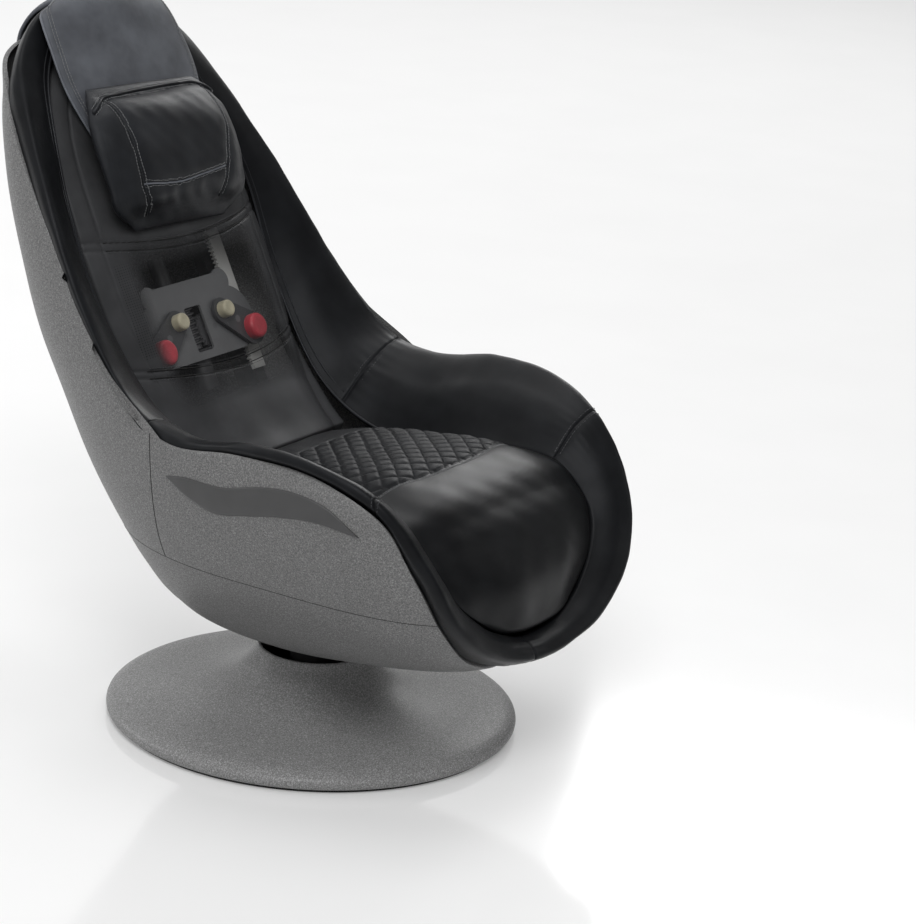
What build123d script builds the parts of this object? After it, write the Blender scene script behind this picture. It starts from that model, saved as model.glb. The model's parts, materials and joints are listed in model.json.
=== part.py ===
from build123d import *
import math
import os

# Massage lounge chair on a round foot. Millimetres, +Z up, the sitter looks towards -Y,
# +X is the sitter's left. The origin is on the floor, on the swivel axis.

# Foot
FOOT_RADIUS = 330
FOOT_EDGE_HEIGHT = 30
NECK_RADIUS = 92
NECK_TOP = 120
COVER_WALL = 4
MAT_HEIGHT = 5
MAT_RADIUS = 318
PLATE_RADIUS = 316
PLATE_HEIGHT = 10
COLUMN_RADIUS = 40
COLUMN_TOP = 116
FLANGE_RADIUS = 105
FLANGE_HEIGHT = 10
BOLT_CIRCLE = 76
BOLT_COUNT = 6
BOLT_RADIUS = 5
BOLT_HEAD_RADIUS = 8.5
BOLT_HEAD_HEIGHT = 6.5
BOLT_HOLE_GAP = 0.3
SPINDLE_RADIUS = 26
BUSH_WALL = 5
RUNNING_GAP = 0.05
WASHER_HEIGHT = 3

# Shell: height, half width, widest at this y, back y, front y, squareness of the front
SHELL_STATIONS = [
    (126, 60, 0, 60, -60, 2.2),
    (155, 130, -10, 190, -190, 2.3),
    (200, 200, -30, 248, -375, 3.0),
    (260, 262, -45, 282, -436, 3.6),
    (330, 308, -55, 321, -444, 4.0),
    (420, 342, -60, 378, -428, 3.8),
    (510, 357, -45, 427, -392, 3.2),
    (600, 338, 120, 463, -100, 2.4),
    (720, 316, 243, 503, 0, 2.2),
    (850, 285, 345, 541, 120, 2.2),
    (960, 247, 430, 550, 250, 2.2),
    (1040, 196, 492, 541, 370, 2.2),
    (1078, 130, 505, 530, 440, 2.2),
]
BACK_SQUARENESS = 2.3
SHELL_WALL = 7
SHELL_POINTS = 36
PANEL_GAP = 1.5
BELLY_SEAM_Z = 318
SIDE_SEAM_Y = 95
SPINDLE_HOLE_RADIUS = 45

# Edge of the grey shell, from the crown to the middle of the chin: x, y, z
SHELL_EDGE = [
    (0, 541, 1040),
    (140, 524, 1028),
    (230, 479, 978),
    (265, 425, 900),
    (303, 329, 783),
    (326, 242, 668),
    (343, 133, 561),
    (353, 45, 522),
    (353, -76, 534),
    (340, -202, 526),
    (318, -306, 480),
    (292, -358, 394),
    (242, -383, 302),
    (150, -382, 228),
    (0, -375, 196),
]
# Highest line of the padded rim, point for point beside the shell edge
RIM_RIDGE = [
    (0, 503, 1097),
    (120, 499, 1082),
    (200, 474, 1024),
    (245, 420, 946),
    (288, 332, 820),
    (314, 245, 692),
    (327, 137, 568),
    (338, 30, 535),
    (350, -86, 550),
    (344, -200, 544),
    (319, -305, 504),
    (292, -384, 410),
    (250, -420, 318),
    (150, -438, 250),
    (0, -442, 226),
]
# Inner foot of the rim padding, where the cushions meet it
RIM_CREASE = [
    (0, 483, 1052),
    (100, 477, 1043),
    (160, 452, 998),
    (192, 417, 928),
    (226, 346, 792),
    (223, 276, 640),
    (205, 190, 528),
    (200, 70, 464),
    (212, -70, 456),
    (216, -190, 455),
    (228, -285, 443),
    (226, -352, 384),
    (190, -382, 326),
    (110, -399, 270),
    (0, -405, 248),
]
RIM_SHOULDER = 0.42
RIM_BULGE = 0.13
RIM_DEPTH = 26
RIM_CHEEK = 4
RIM_SEAT = 13
RIM_LIFT = 3
RIM_FACETS = 8
BACK_SEAM_AT = 6.4
FRONT_SEAM_AT = 9.95
RIM_SEAM_GAP = 0.02

# Massage plane: it leans back, its own y runs up the back and its z points at the sitter
PLANE_Y = 235
PLANE_Z = 573
PLANE_SLOPE = 0.53

# Back cover in the massage plane: distance up the back, half width, edge height
COVER_STATIONS = [
    (-190, 172, 114),
    (-160, 176, 82),
    (-124, 181, 50),
    (-92, 187, 30),
    (-60, 196, 16),
    (-20, 210, 4),
    (60, 222, 0),
    (160, 226, 0),
    (250, 221, 0),
    (340, 208, -3),
    (420, 182, -4),
    (480, 146, -5),
    (520, 100, -5),
    (534, 60, -5),
]
COVER_CROWN = 34
COVER_INSET = 7
COVER_THICKNESS = 8

# Seat cushion from the back to under the chin: half width, y, z, inner y, inner z, crown
SEAT_STATIONS = [
    (183, 104, 450, 104, 388, 4),
    (195, 60, 450, 60, 378, 8),
    (203, 14, 453, 14, 378, 11),
    (209, -70, 456, -70, 376, 14),
    (213, -190, 455, -190, 376, 18),
    (225, -285, 443, -262, 375, 22),
    (226, -325, 413, -285, 345, 24),
    (221, -352, 384, -298, 325, 25),
    (186, -380, 326, -318, 292, 24),
    (106, -396, 272, -335, 262, 18),
    (50, -400, 256, -345, 252, 8),
]

# Headrest flap from its free end to the hinge over the crown: half width, y, z, side drop
FLAP_STATIONS = [
    (150, 358, 881, 8),
    (162, 405, 970, 10),
    (160, 440, 1041, 16),
    (152, 462, 1082, 24),
    (146, 481, 1097, 26),
    (140, 502, 1102, 26),
]
# Fixed strip that carries the flap, from the hinge down behind the crown
STRIP_STATIONS = [
    (140, 506, 1101.4, 23),
    (138, 525, 1088, 21),
    (136, 543, 1057, 19),
    (134, 550, 1026, 15),
    (130, 555, 990, 14),
]
FLAP_THICKNESS = 6
STRAP_STEPS = 3
# Rolled welt on which the flap turns, in the fold between flap and strip
HINGE_Y = 503.25
HINGE_Z = 1108.5
HINGE_RADIUS = 2.2
HINGE_HALF_WIDTH = 18
# Pillow in the massage plane: distance up the back, half width, front height
PILLOW_STATIONS = [
    (206, 105, 62),
    (228, 145, 92),
    (275, 164, 116),
    (335, 168, 122),
    (388, 160, 112),
    (420, 145, 92),
    (436, 122, 66),
]
PILLOW_BACK = 43.5
PILLOW_SQUARENESS = 3.2

# Steel frame
FRAME_X = 140
FRAME_PLATE = 6
SADDLE_Z = 185
SADDLE_PLATE = 6
SADDLE_HALF_WIDTH = 139.5
SADDLE_HALF_LENGTH = 100
TUBE = 25
TUBE_WALL = 2
DECK_Z = 360
DECK_THICKNESS = 12
DECK_HALF_WIDTH = 200
DECK_FRONT = -246
DECK_BACK = 108
UPRIGHT_INNER_X = 146.5
UPRIGHT_OUTER_X = 188
UPRIGHT_BACK = -92
UPRIGHT_FRONT = -64
UPRIGHT_LOW = -245
UPRIGHT_HIGH = 335
UPRIGHT_WALL = 3

# Guide rails and racks, in the massage plane
RAIL_OUTER_X = 160
RAIL_INNER_X = 133
RAIL_BACK = -64
RAIL_FRONT = -40
RAIL_WALL = 2.5
RAIL_LOW = -215
RAIL_HIGH = 300
RAIL_MIDDLE = (RAIL_BACK + RAIL_FRONT) / 2
RACK_THICKNESS = 7
RACK_LOW = -60
RACK_HIGH = 300
LIFT_DOWN = 100
LIFT_UP = 165

# Gears
RACK_MODULE = 2.2
PINION_TEETH = 12
KNEAD_MODULE = 2.5
KNEAD_TEETH = 20
WORM_PITCH_RADIUS = 15
PRESSURE_ANGLE = 20
GEAR_FACE = 8
GEAR_BACKLASH = 0.35
GEAR_LAYER = -34
RACK_PITCH_X = 127.2
PINION_X = RACK_PITCH_X - PINION_TEETH * RACK_MODULE / 2

# Massage carriage, in the massage plane
KNEAD_X = 90
KNEAD_S = 25
PINION_S = 94
HEAD_ARM = 36
LARGE_HEAD_RADIUS = 21
SMALL_HEAD_RADIUS = 14
HEAD_TOP = 14.5
HEAD_FOOT = -2
ARM_BACK = -8
PLATE_FRONT = -12
PLATE_BACK = -16
CASE_BACK = -62
CASE_HALF_WIDTH = 121.5
CASE_WALL = 3.5
CASE_LOW = -8
CASE_HIGH = 74
KNEAD_SHAFT_RADIUS = 6
SMALL_SHAFT_RADIUS = 5
MOTOR_RADIUS = 17.5
HEAD_TILT = 34
ARM_LARGE_RADIUS = 28
ARM_SMALL_RADIUS = 21
ARM_HUB_RADIUS = 12
WORM_TURNS = 8
WORM_TURNS_BELOW = 3
WORM_ROOM = 19
HALF_TOOTH = 180 / KNEAD_TEETH
PINION_FACE = 6
PINION_SHAFT_RADIUS = 4
PLATE_LOBE = 53
PLATE_SHOULDER = 20
PLATE_LOW = -22
PLATE_HIGH = 108
WINDOW_HALF_WIDTH = 21
WINDOW_HEIGHT = 74
SHOE_LOW = 6
SHOE_HIGH = 60
SHOE_GAP = 0.3
STUB_RADIUS = 4
STUB_END = 150
MOTOR_LENGTH = 62
GEARBOX_LOW = 78
GEARBOX_HIGH = 108
GEARBOX_BACK = -60
GEARBOX_HALF = 94
GEARBOX_ARM_FRONT = -43
ARM_REACH = 121
LIFT_MOTOR_LENGTH = 50
LIFT_MOTOR_RADIUS = 14

# Power inlet on the low back
INLET_Y = 350.5
INLET_Z = 374
INLET_LEAN = 32.3
INLET_WIDTH = 66
INLET_HEIGHT = 34
INLET_DEPTH = 34
FLANGE_PLATE = 2.5
SOCKET_WIDTH = 25
SOCKET_HEIGHT = 17
SOCKET_DEPTH = 17
SOCKET_X = -12
ROCKER_X = 20
ROCKER_WIDTH = 12
ROCKER_HEIGHT = 20
ROCKER_PIN_RADIUS = 1.5
ROCKER_THROW = 14

X_SIDES = {"left": 1, "right": -1}
FAR = 1200
HALF_SPAN = 500

lean = math.atan(PLANE_SLOPE)
massage_plane = Plane(
    origin=(0, PLANE_Y, PLANE_Z),
    x_dir=(1, 0, 0),
    z_dir=(0, -math.cos(lean), math.sin(lean)),
)


def write(shape, name):
    shape.label = name
    export_step(shape, f"parts/{name}.step")


def block(x0, x1, y0, y1, z0, z1):
    size = (x1 - x0, y1 - y0, z1 - z0)
    centre = ((x0 + x1) / 2, (y0 + y1) / 2, (z0 + z1) / 2)
    return Pos(*centre) * Box(*size)


def rod(radius, z0, z1, x=0, y=0):
    return Pos(x, y, (z0 + z1) / 2) * Cylinder(radius, z1 - z0)


def in_massage_plane(shape):
    return massage_plane.location * shape


def lathe(points):
    with BuildSketch(Plane.XZ) as profile:
        with BuildLine():
            Polyline(*points, close=True)
        make_face()
    return revolve(profile.sketch, Axis.Z)


def prism_along_x(points, x0, x1):
    face = make_face(Plane.YZ * Polyline(*points, close=True))
    return Pos(x0, 0, 0) * extrude(face, amount=x1 - x0, dir=(1, 0, 0))


def curve_point(points, t):
    """A point of the smooth curve through the given points, at t points along it."""
    i = min(max(int(math.floor(t)), 0), len(points) - 2)
    u = t - i
    a = Vector(*points[i])
    b = Vector(*points[i + 1])
    before = Vector(*points[i - 1]) if i > 0 else Vector(-b.X, b.Y, b.Z)
    if i + 2 < len(points):
        after = Vector(*points[i + 2])
    else:
        after = Vector(-a.X, a.Y, a.Z)
    ta = (b - before) * 0.5
    tb = (after - a) * 0.5
    h = (2 * u**3 - 3 * u**2 + 1, u**3 - 2 * u**2 + u, -2 * u**3 + 3 * u**2, u**3 - u**2)
    return a * h[0] + ta * h[1] + b * h[2] + tb * h[3]


def rim_curve(points, t):
    """The rim curve at t, where negative t is the sitter's right side."""
    p = curve_point(points, abs(t))
    return Vector(-p.X, p.Y, p.Z) if t < 0 else p


def closed_wire(points):
    return Wire([Edge.make_line(points[i - 1], points[i]) for i in range(len(points))])


# Shell

def shell_section(station, inset, lift=0):
    z, half, widest_y, back_y, front_y, squareness = station
    points = []
    for i in range(SHELL_POINTS):
        angle = 2 * math.pi * i / SHELL_POINTS
        c = math.cos(angle)
        s = math.sin(angle)
        behind = s > 0
        power = 2 / (BACK_SQUARENESS if behind else squareness)
        reach = (back_y - widest_y if behind else widest_y - front_y) - inset
        x = (half - inset) * math.copysign(abs(c) ** power, c)
        y = widest_y + reach * math.copysign(abs(s) ** power, s)
        points.append(Vector(x, y, z + lift))
    return closed_wire(points)


def shell_body(inset, bottom_lift=0, top_lift=0):
    last = len(SHELL_STATIONS) - 1
    wires = []
    for i, station in enumerate(SHELL_STATIONS):
        lift = bottom_lift if i == 0 else top_lift if i == last else 0
        wires.append(shell_section(station, inset, lift))
    return Solid.make_loft(wires)


def shell_edge_line():
    steps = 2 * (len(SHELL_EDGE) - 1)
    points = [curve_point(SHELL_EDGE, i / 2) for i in range(steps + 1)]
    return [(p.Y, p.Z) for p in points]


def shell_panels():
    wall = shell_body(0) - shell_body(SHELL_WALL, SHELL_WALL, SHELL_WALL)
    line = shell_edge_line()
    with BuildSketch(Plane.YZ) as profile:
        with BuildLine():
            Spline(*line)
            Polyline(line[-1], (line[-1][0], -100), (FAR, -100), (FAR, line[0][1]), line[0])
        make_face()
    wall = wall & extrude(profile.sketch, amount=HALF_SPAN, both=True)
    gap = PANEL_GAP / 2
    low = block(-FAR, FAR, -FAR, FAR, 0, BELLY_SEAM_Z - gap)
    high = block(-FAR, FAR, -FAR, FAR, BELLY_SEAM_Z + gap, FAR)
    behind = block(-FAR, FAR, SIDE_SEAM_Y + gap, FAR, 0, FAR)
    ahead = block(-FAR, FAR, -FAR, SIDE_SEAM_Y - gap, 0, FAR)
    upper = wall & high
    belly = (wall & low) - rod(SPINDLE_HOLE_RADIUS, 0, 2 * SPINDLE_HOLE_RADIUS + 80)
    sides = upper & ahead
    left = sides & block(0, FAR, -FAR, FAR, 0, FAR)
    right = sides & block(-FAR, 0, -FAR, FAR, 0, FAR)
    return belly, upper & behind, left, right


# Rim padding

def rim_section(t):
    """Closed outline of the padding, in the plane through the shell edge, the ridge and the crease."""
    ridge = rim_curve(RIM_RIDGE, t)
    edge = rim_curve(SHELL_EDGE, t)
    crease = rim_curve(RIM_CREASE, t)
    step = 0.05 if t < len(SHELL_EDGE) - 1.1 else -0.05
    along = rim_curve(SHELL_EDGE, t + step) - rim_curve(SHELL_EDGE, t)
    normal = (ridge - edge).cross(crease - ridge).normalized()
    across_axis = Vector(1, 0, 0)
    rest = across_axis * along.dot(normal) - along * across_axis.dot(normal)
    rest = rest.normalized()
    if rest.dot(crease - edge) < 0:
        rest = rest * -1
    up = (ridge - edge) - rest * (ridge - edge).dot(rest)
    outer = edge + up.normalized() * RIM_LIFT
    seat = outer + rest * RIM_SEAT
    inwards = (outer - ridge).normalized()
    across = crease - ridge
    sideways = (across - inwards * across.dot(inwards)).normalized()
    cheek = outer + (ridge - outer) * 0.55 - sideways * RIM_CHEEK
    shoulder = ridge + across * RIM_SHOULDER - inwards * across.length * RIM_BULGE
    deep = crease + inwards * RIM_DEPTH
    top = Edge.make_spline([outer, cheek, ridge, shoulder, crease])
    return closed_wire([top @ (i / RIM_FACETS) for i in range(RIM_FACETS + 1)] + [deep, seat])


def places_between(t0, t1, count):
    return [t0 + (t1 - t0) * i / (count - 1) for i in range(count)]


def rim_piece(places):
    return Solid.make_loft([rim_section(t) for t in places])


# Cushions

def crowned_section(half, y, z, inner_y, inner_z, crown, foot=0.95):
    """Closed outline across the seat: a crowned top, straight sides and a flat back."""
    inwards = Vector(0, inner_y - y, inner_z - z)
    out = inwards.normalized() * -1
    edge = Vector(0, y, z)
    side = Vector(half, 0, 0)
    shares = [-1, -0.94, -0.82, -0.62, -0.34, 0, 0.34, 0.62, 0.82, 0.94, 1]
    top = [edge + side * k + out * crown * (1 - abs(k) ** 3.4) for k in shares]
    low_right = edge + side * foot + inwards
    low_left = edge - side * foot + inwards
    return closed_wire(top + [low_right, low_left])


def seat_cushion():
    return Solid.make_loft([crowned_section(*station) for station in SEAT_STATIONS])


def cover_height(x, half, edge):
    return edge + COVER_CROWN * (1 - (x / half) ** 4)


def cover_section(s, half, edge):
    """Outline across the back cover: a crowned sheet of even thickness."""
    reach = half - COVER_INSET
    shares = [-1, -0.92, -0.8, -0.62, -0.34, 0, 0.34, 0.62, 0.8, 0.92, 1]
    top = [Vector(reach * k, s, cover_height(reach * k, half, edge)) for k in shares]
    return closed_wire(top + [p - Vector(0, 0, COVER_THICKNESS) for p in reversed(top)])


def back_cover():
    wires = [cover_section(*station) for station in COVER_STATIONS]
    return in_massage_plane(Solid.make_loft(wires))


def foam_strip(side):
    """Foam beside the carriage bay, from the upright to under the cover."""
    wires = []
    for s, half, edge in COVER_STATIONS[5:10]:
        inner = 173
        outer = half - 16
        top_inner = cover_height(inner, half, edge) - COVER_THICKNESS - 3
        top_outer = cover_height(outer, half, edge) - COVER_THICKNESS - 3
        corners = [(inner, UPRIGHT_FRONT), (outer, UPRIGHT_FRONT), (outer, top_outer), (inner, top_inner)]
        points = [Vector(side * x, s, n) for x, n in corners]
        wires.append(Wire([Edge.make_line(points[i], points[(i + 1) % 4]) for i in range(4)]))
    return in_massage_plane(Solid.make_loft(wires, True))


def upper_back_foam():
    outline = [(half - 34, s) for s, half, _ in COVER_STATIONS[9:13]]
    points = outline + [(-x, s) for x, s in reversed(outline)]
    face = make_face(Polyline(*points, close=True))
    return in_massage_plane(Pos(0, 0, -48) * extrude(face, amount=42))


def strap_section(half, y, z, drop, tangent):
    """Outline across the flap: an arched sheet whose sides drop away from its middle."""
    normal = Vector(0, -tangent.Z, tangent.Y)
    middle = Vector(0, y, z)
    shares = [-1, -0.84, -0.6, -0.3, 0, 0.3, 0.6, 0.84, 1]
    low = [middle + Vector(half * k, 0, 0) - normal * drop * k**2 for k in shares]
    return closed_wire([p + normal * FLAP_THICKNESS for p in low] + low[::-1])


def between_rows(rows, t):
    """Smooth interpolation between rows of numbers, at t rows from the first."""
    last = len(rows) - 1
    i = min(int(t), last - 1)
    u = t - i
    a = rows[i]
    b = rows[i + 1]
    before = rows[max(i - 1, 0)]
    after = rows[min(i + 2, last)]
    h = (2 * u**3 - 3 * u**2 + 1, u**3 - 2 * u**2 + u, -2 * u**3 + 3 * u**2, u**3 - u**2)
    return [
        p * h[0] + (q - o) / 2 * h[1] + q * h[2] + (r - p) / 2 * h[3]
        for o, p, q, r in zip(before, a, b, after)
    ]


def strap(stations, fold):
    """Sheet through the stations; its section at the fold stands upright."""
    last = len(stations) - 1
    step = 1 / STRAP_STEPS
    wires = []
    for k in range(last * STRAP_STEPS + 1):
        t = k * step
        half, y, z, drop = between_rows(stations, t)
        before = between_rows(stations, max(t - step, 0))
        after = between_rows(stations, min(t + step, last))
        tangent = Vector(0, after[1] - before[1], after[2] - before[2]).normalized()
        if t == fold:
            tangent = Vector(0, 1, 0)
        wires.append(strap_section(half, y, z, drop, tangent))
    return Solid.make_loft(wires, True)


def fold_roll():
    return Pos(0, HINGE_Y, HINGE_Z) * Rot(0, 90, 0) * Cylinder(HINGE_RADIUS, 2 * HINGE_HALF_WIDTH)


def head_flap():
    return strap(FLAP_STATIONS, len(FLAP_STATIONS) - 1) + fold_roll()


def crown_strip():
    return strap(STRIP_STATIONS, 0)


def pillow():
    wires = []
    count = 24
    for s, half, front in PILLOW_STATIONS:
        middle = (PILLOW_BACK + front) / 2
        reach = (front - PILLOW_BACK) / 2
        points = []
        for i in range(count):
            angle = 2 * math.pi * i / count
            c = math.cos(angle)
            n = math.sin(angle)
            x = half * math.copysign(abs(c) ** (2 / PILLOW_SQUARENESS), c)
            points.append(Vector(x, s, middle + reach * math.copysign(abs(n) ** (2 / 2.4), n)))
        wires.append(closed_wire(points))
    return in_massage_plane(Solid.make_loft(wires))


# Gears

def involute(base, radius):
    """Polar angle of the involute of a base circle at a radius."""
    if radius <= base:
        return 0
    turn = math.acos(base / radius)
    return math.tan(turn) - turn


def gear_outline(teeth, module, backlash, addendum=1.0):
    pitch = teeth * module / 2
    base = pitch * math.cos(math.radians(PRESSURE_ANGLE))
    tip = pitch + addendum * module
    root = pitch - 1.25 * module
    half_tooth = math.pi / (2 * teeth) - backlash / (2 * pitch) + involute(base, pitch)
    radii = [max(base, root) + (tip - max(base, root)) * k for k in (0, 0.35, 0.7, 1)]
    points = []
    for i in range(teeth):
        middle = 2 * math.pi * i / teeth
        flank = [(r, half_tooth - involute(base, r)) for r in radii]
        if root < base:
            flank.insert(0, (root, half_tooth))
        for r, a in flank:
            points.append((r * math.cos(middle - a), r * math.sin(middle - a)))
        for r, a in reversed(flank):
            points.append((r * math.cos(middle + a), r * math.sin(middle + a)))
    return points


def gear(teeth, module, face, turn=0, addendum=1.0):
    outline = make_face(Polyline(*gear_outline(teeth, module, GEAR_BACKLASH, addendum), close=True))
    return Pos(0, 0, -face / 2) * extrude(Rot(0, 0, turn) * outline, amount=face)


def rack(side):
    """Toothed strip with its teeth towards the middle; a tooth gap faces the pinion at rest."""
    pitch = math.pi * RACK_MODULE
    pitch_x = RACK_PITCH_X
    slope = math.tan(math.radians(PRESSURE_ANGLE))
    half_pitch_tooth = pitch / 4 - GEAR_BACKLASH / 2
    tip_half = half_pitch_tooth - RACK_MODULE * slope
    root_half = half_pitch_tooth + 1.25 * RACK_MODULE * slope
    tip_x = pitch_x - RACK_MODULE
    root_x = pitch_x + 1.25 * RACK_MODULE
    first = math.ceil((RACK_LOW - PINION_S) / pitch - 0.5)
    last = math.floor((RACK_HIGH - PINION_S) / pitch - 0.5)
    points = [(RAIL_OUTER_X - 2, RACK_LOW), (root_x, RACK_LOW)]
    for k in range(first + 1, last):
        s = PINION_S + (k + 0.5) * pitch
        points += [(root_x, s - root_half), (tip_x, s - tip_half)]
        points += [(tip_x, s + tip_half), (root_x, s + root_half)]
    points += [(root_x, RACK_HIGH), (RAIL_OUTER_X - 2, RACK_HIGH)]
    face = make_face(Polyline(*[(side * x, s) for x, s in points], close=True))
    strip = extrude(face, amount=RACK_THICKNESS, dir=(0, 0, 1))
    return in_massage_plane(Pos(0, 0, RAIL_FRONT) * strip)


def worm():
    """Single-start worm along the back: at rest a crest meets the left idler and a gap the right one."""
    lead = math.pi * KNEAD_MODULE
    root = WORM_PITCH_RADIUS - 1.2 * KNEAD_MODULE
    tip = WORM_PITCH_RADIUS + 0.9 * KNEAD_MODULE
    slope = math.tan(math.radians(PRESSURE_ANGLE))
    half = lead / 4 - GEAR_BACKLASH
    length = WORM_TURNS * lead
    sunk = 1
    root_half = half + (WORM_PITCH_RADIUS - root + sunk) * slope
    tip_half = half - (tip - WORM_PITCH_RADIUS) * slope
    section = [(root - sunk, -root_half), (tip, -tip_half), (tip, tip_half), (root - sunk, root_half)]
    face = make_face(Plane.XZ * Polyline(*section, close=True))
    thread = sweep(face, path=Edge.make_helix(lead, length, root), is_frenet=True)
    low = KNEAD_S - WORM_TURNS_BELOW * lead
    core = rod(root, -lead / 2, length + lead / 2) + thread
    shaft = rod(SMALL_SHAFT_RADIUS, CASE_LOW - 3 - low, CASE_HIGH - low)
    upright = Plane(origin=(0, low, GEAR_LAYER), x_dir=(1, 0, 0), z_dir=(0, 1, 0))
    return in_massage_plane(upright.location * (core + shaft))


def knead_gear(side):
    wheel = gear(KNEAD_TEETH, KNEAD_MODULE, GEAR_FACE, turn=0 if side > 0 else HALF_TOOTH)
    shaft = rod(KNEAD_SHAFT_RADIUS, CASE_BACK - GEAR_LAYER, HEAD_FOOT - GEAR_LAYER)
    return in_massage_plane(Pos(side * KNEAD_X, KNEAD_S, GEAR_LAYER) * (wheel + shaft))


def idler(side):
    wheel = gear(KNEAD_TEETH, KNEAD_MODULE, GEAR_FACE, turn=HALF_TOOTH if side > 0 else 0)
    shaft = rod(SMALL_SHAFT_RADIUS, CASE_BACK - GEAR_LAYER, PLATE_FRONT - GEAR_LAYER)
    x = side * (WORM_PITCH_RADIUS + KNEAD_TEETH * KNEAD_MODULE / 2)
    return in_massage_plane(Pos(x, KNEAD_S, GEAR_LAYER) * (wheel + shaft))


def lift_pinion(side):
    wheel = gear(PINION_TEETH, RACK_MODULE, PINION_FACE, addendum=0.85)
    middle = RAIL_FRONT + RACK_THICKNESS / 2
    shaft = rod(PINION_SHAFT_RADIUS, GEARBOX_BACK + 4 - middle, PINION_FACE / 2 + 1)
    return in_massage_plane(Pos(side * PINION_X, PINION_S, middle) * (wheel + shaft))


# Kneading arms and heads, in the massage plane

def arm_tips(side):
    """Places of the large and the small head of one arm at rest."""
    angle = math.radians(HEAD_TILT)
    dx = HEAD_ARM * math.cos(angle)
    ds = HEAD_ARM * math.sin(angle)
    centre_x = side * KNEAD_X
    return (centre_x + side * dx, KNEAD_S - ds), (centre_x - side * dx, KNEAD_S + ds)


def knead_arm(side):
    large, small = arm_tips(side)
    disc_large = rod(ARM_LARGE_RADIUS, ARM_BACK, HEAD_FOOT, *large)
    disc_small = rod(ARM_SMALL_RADIUS, ARM_BACK, HEAD_FOOT, *small)
    hub = rod(ARM_HUB_RADIUS, ARM_BACK, HEAD_FOOT, side * KNEAD_X, KNEAD_S)
    outline = make_hull(
        (Pos(*large) * Circle(ARM_LARGE_RADIUS)).edges() + (Pos(*small) * Circle(ARM_SMALL_RADIUS)).edges()
    )
    plate = Pos(0, 0, ARM_BACK) * extrude(outline, amount=HEAD_FOOT - ARM_BACK, dir=(0, 0, 1))
    bore = rod(KNEAD_SHAFT_RADIUS, ARM_BACK - 1, HEAD_FOOT + 1, side * KNEAD_X, KNEAD_S)
    return in_massage_plane(plate + disc_large + disc_small + hub - bore)


def head(radius, place, edge):
    """Roller with a rounded front edge, turned from a short profile."""
    profile = [(0, HEAD_FOOT), (radius, HEAD_FOOT)]
    for degrees in (0, 30, 60, 90):
        turn = math.radians(degrees)
        profile.append((radius - edge + edge * math.cos(turn), HEAD_TOP - edge + edge * math.sin(turn)))
    profile.append((0, HEAD_TOP))
    return in_massage_plane(Pos(place[0], place[1], 0) * lathe(profile))


# Carriage

def carriage_plate():
    """Waisted cover plate with a window over the worm and two bushed holes on each side."""
    lobes = []
    for side in (1, -1):
        lobes.append(Pos(side * (KNEAD_X + 2), KNEAD_S + 6) * Circle(PLATE_LOBE))
        lobes.append(Pos(side * PINION_X * 0.82, PINION_S) * Circle(PLATE_SHOULDER))
    bridge = Pos(0, (PLATE_LOW + PLATE_HIGH) / 2) * RectangleRounded(2 * KNEAD_X, PLATE_HIGH - PLATE_LOW, 8)
    outline = bridge + lobes
    window = Pos(0, KNEAD_S + 3) * RectangleRounded(2 * WINDOW_HALF_WIDTH, WINDOW_HEIGHT, 4)
    outline = outline - window
    for side in (1, -1):
        outline -= Pos(side * KNEAD_X, KNEAD_S) * Circle(KNEAD_SHAFT_RADIUS + RUNNING_GAP)
        idler_x = side * (WORM_PITCH_RADIUS + KNEAD_TEETH * KNEAD_MODULE / 2)
        outline -= Pos(idler_x, KNEAD_S) * Circle(SMALL_SHAFT_RADIUS + RUNNING_GAP)
    plate = Pos(0, 0, PLATE_BACK) * extrude(outline, amount=PLATE_FRONT - PLATE_BACK, dir=(0, 0, 1))
    return in_massage_plane(plate)


def gear_case():
    """Tray behind the plate that holds the gear train, with bearing holes."""
    w = CASE_HALF_WIDTH
    t = CASE_WALL
    case = block(-w, w, CASE_LOW, CASE_HIGH, CASE_BACK, PLATE_BACK)
    case -= block(-w + t, w - t, CASE_LOW + t, CASE_HIGH - t, GEAR_LAYER - WORM_ROOM, PLATE_BACK + 1)
    for side in (1, -1):
        case -= rod(KNEAD_SHAFT_RADIUS + RUNNING_GAP, CASE_BACK - 1, PLATE_BACK, side * KNEAD_X, KNEAD_S)
        idler_x = side * (WORM_PITCH_RADIUS + KNEAD_TEETH * KNEAD_MODULE / 2)
        case -= rod(SMALL_SHAFT_RADIUS + RUNNING_GAP, CASE_BACK - 1, PLATE_BACK, idler_x, KNEAD_S)
        for s in (SHOE_LOW, SHOE_HIGH):
            stub = Rot(0, 90, 0) * Cylinder(STUB_RADIUS, STUB_END - w)
            case += Pos(side * (w + STUB_END) / 2, s, RAIL_MIDDLE) * stub
    bore = Pos(0, (CASE_LOW + CASE_HIGH) / 2, GEAR_LAYER) * Rot(90, 0, 0)
    case -= bore * Cylinder(SMALL_SHAFT_RADIUS + RUNNING_GAP, 2 * CASE_HIGH)
    return in_massage_plane(case)


def knead_motor():
    low = CASE_LOW - MOTOR_LENGTH
    can = Pos(0, (low + CASE_LOW) / 2, GEAR_LAYER) * Rot(90, 0, 0) * Cylinder(MOTOR_RADIUS, MOTOR_LENGTH)
    shaft_room = Pos(0, CASE_LOW, GEAR_LAYER) * Rot(90, 0, 0) * Cylinder(SMALL_SHAFT_RADIUS + 0.5, 8)
    tail = Pos(0, low - 3, GEAR_LAYER) * Rot(90, 0, 0) * Cylinder(6, 6)
    return in_massage_plane(can + tail - shaft_room)


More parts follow.
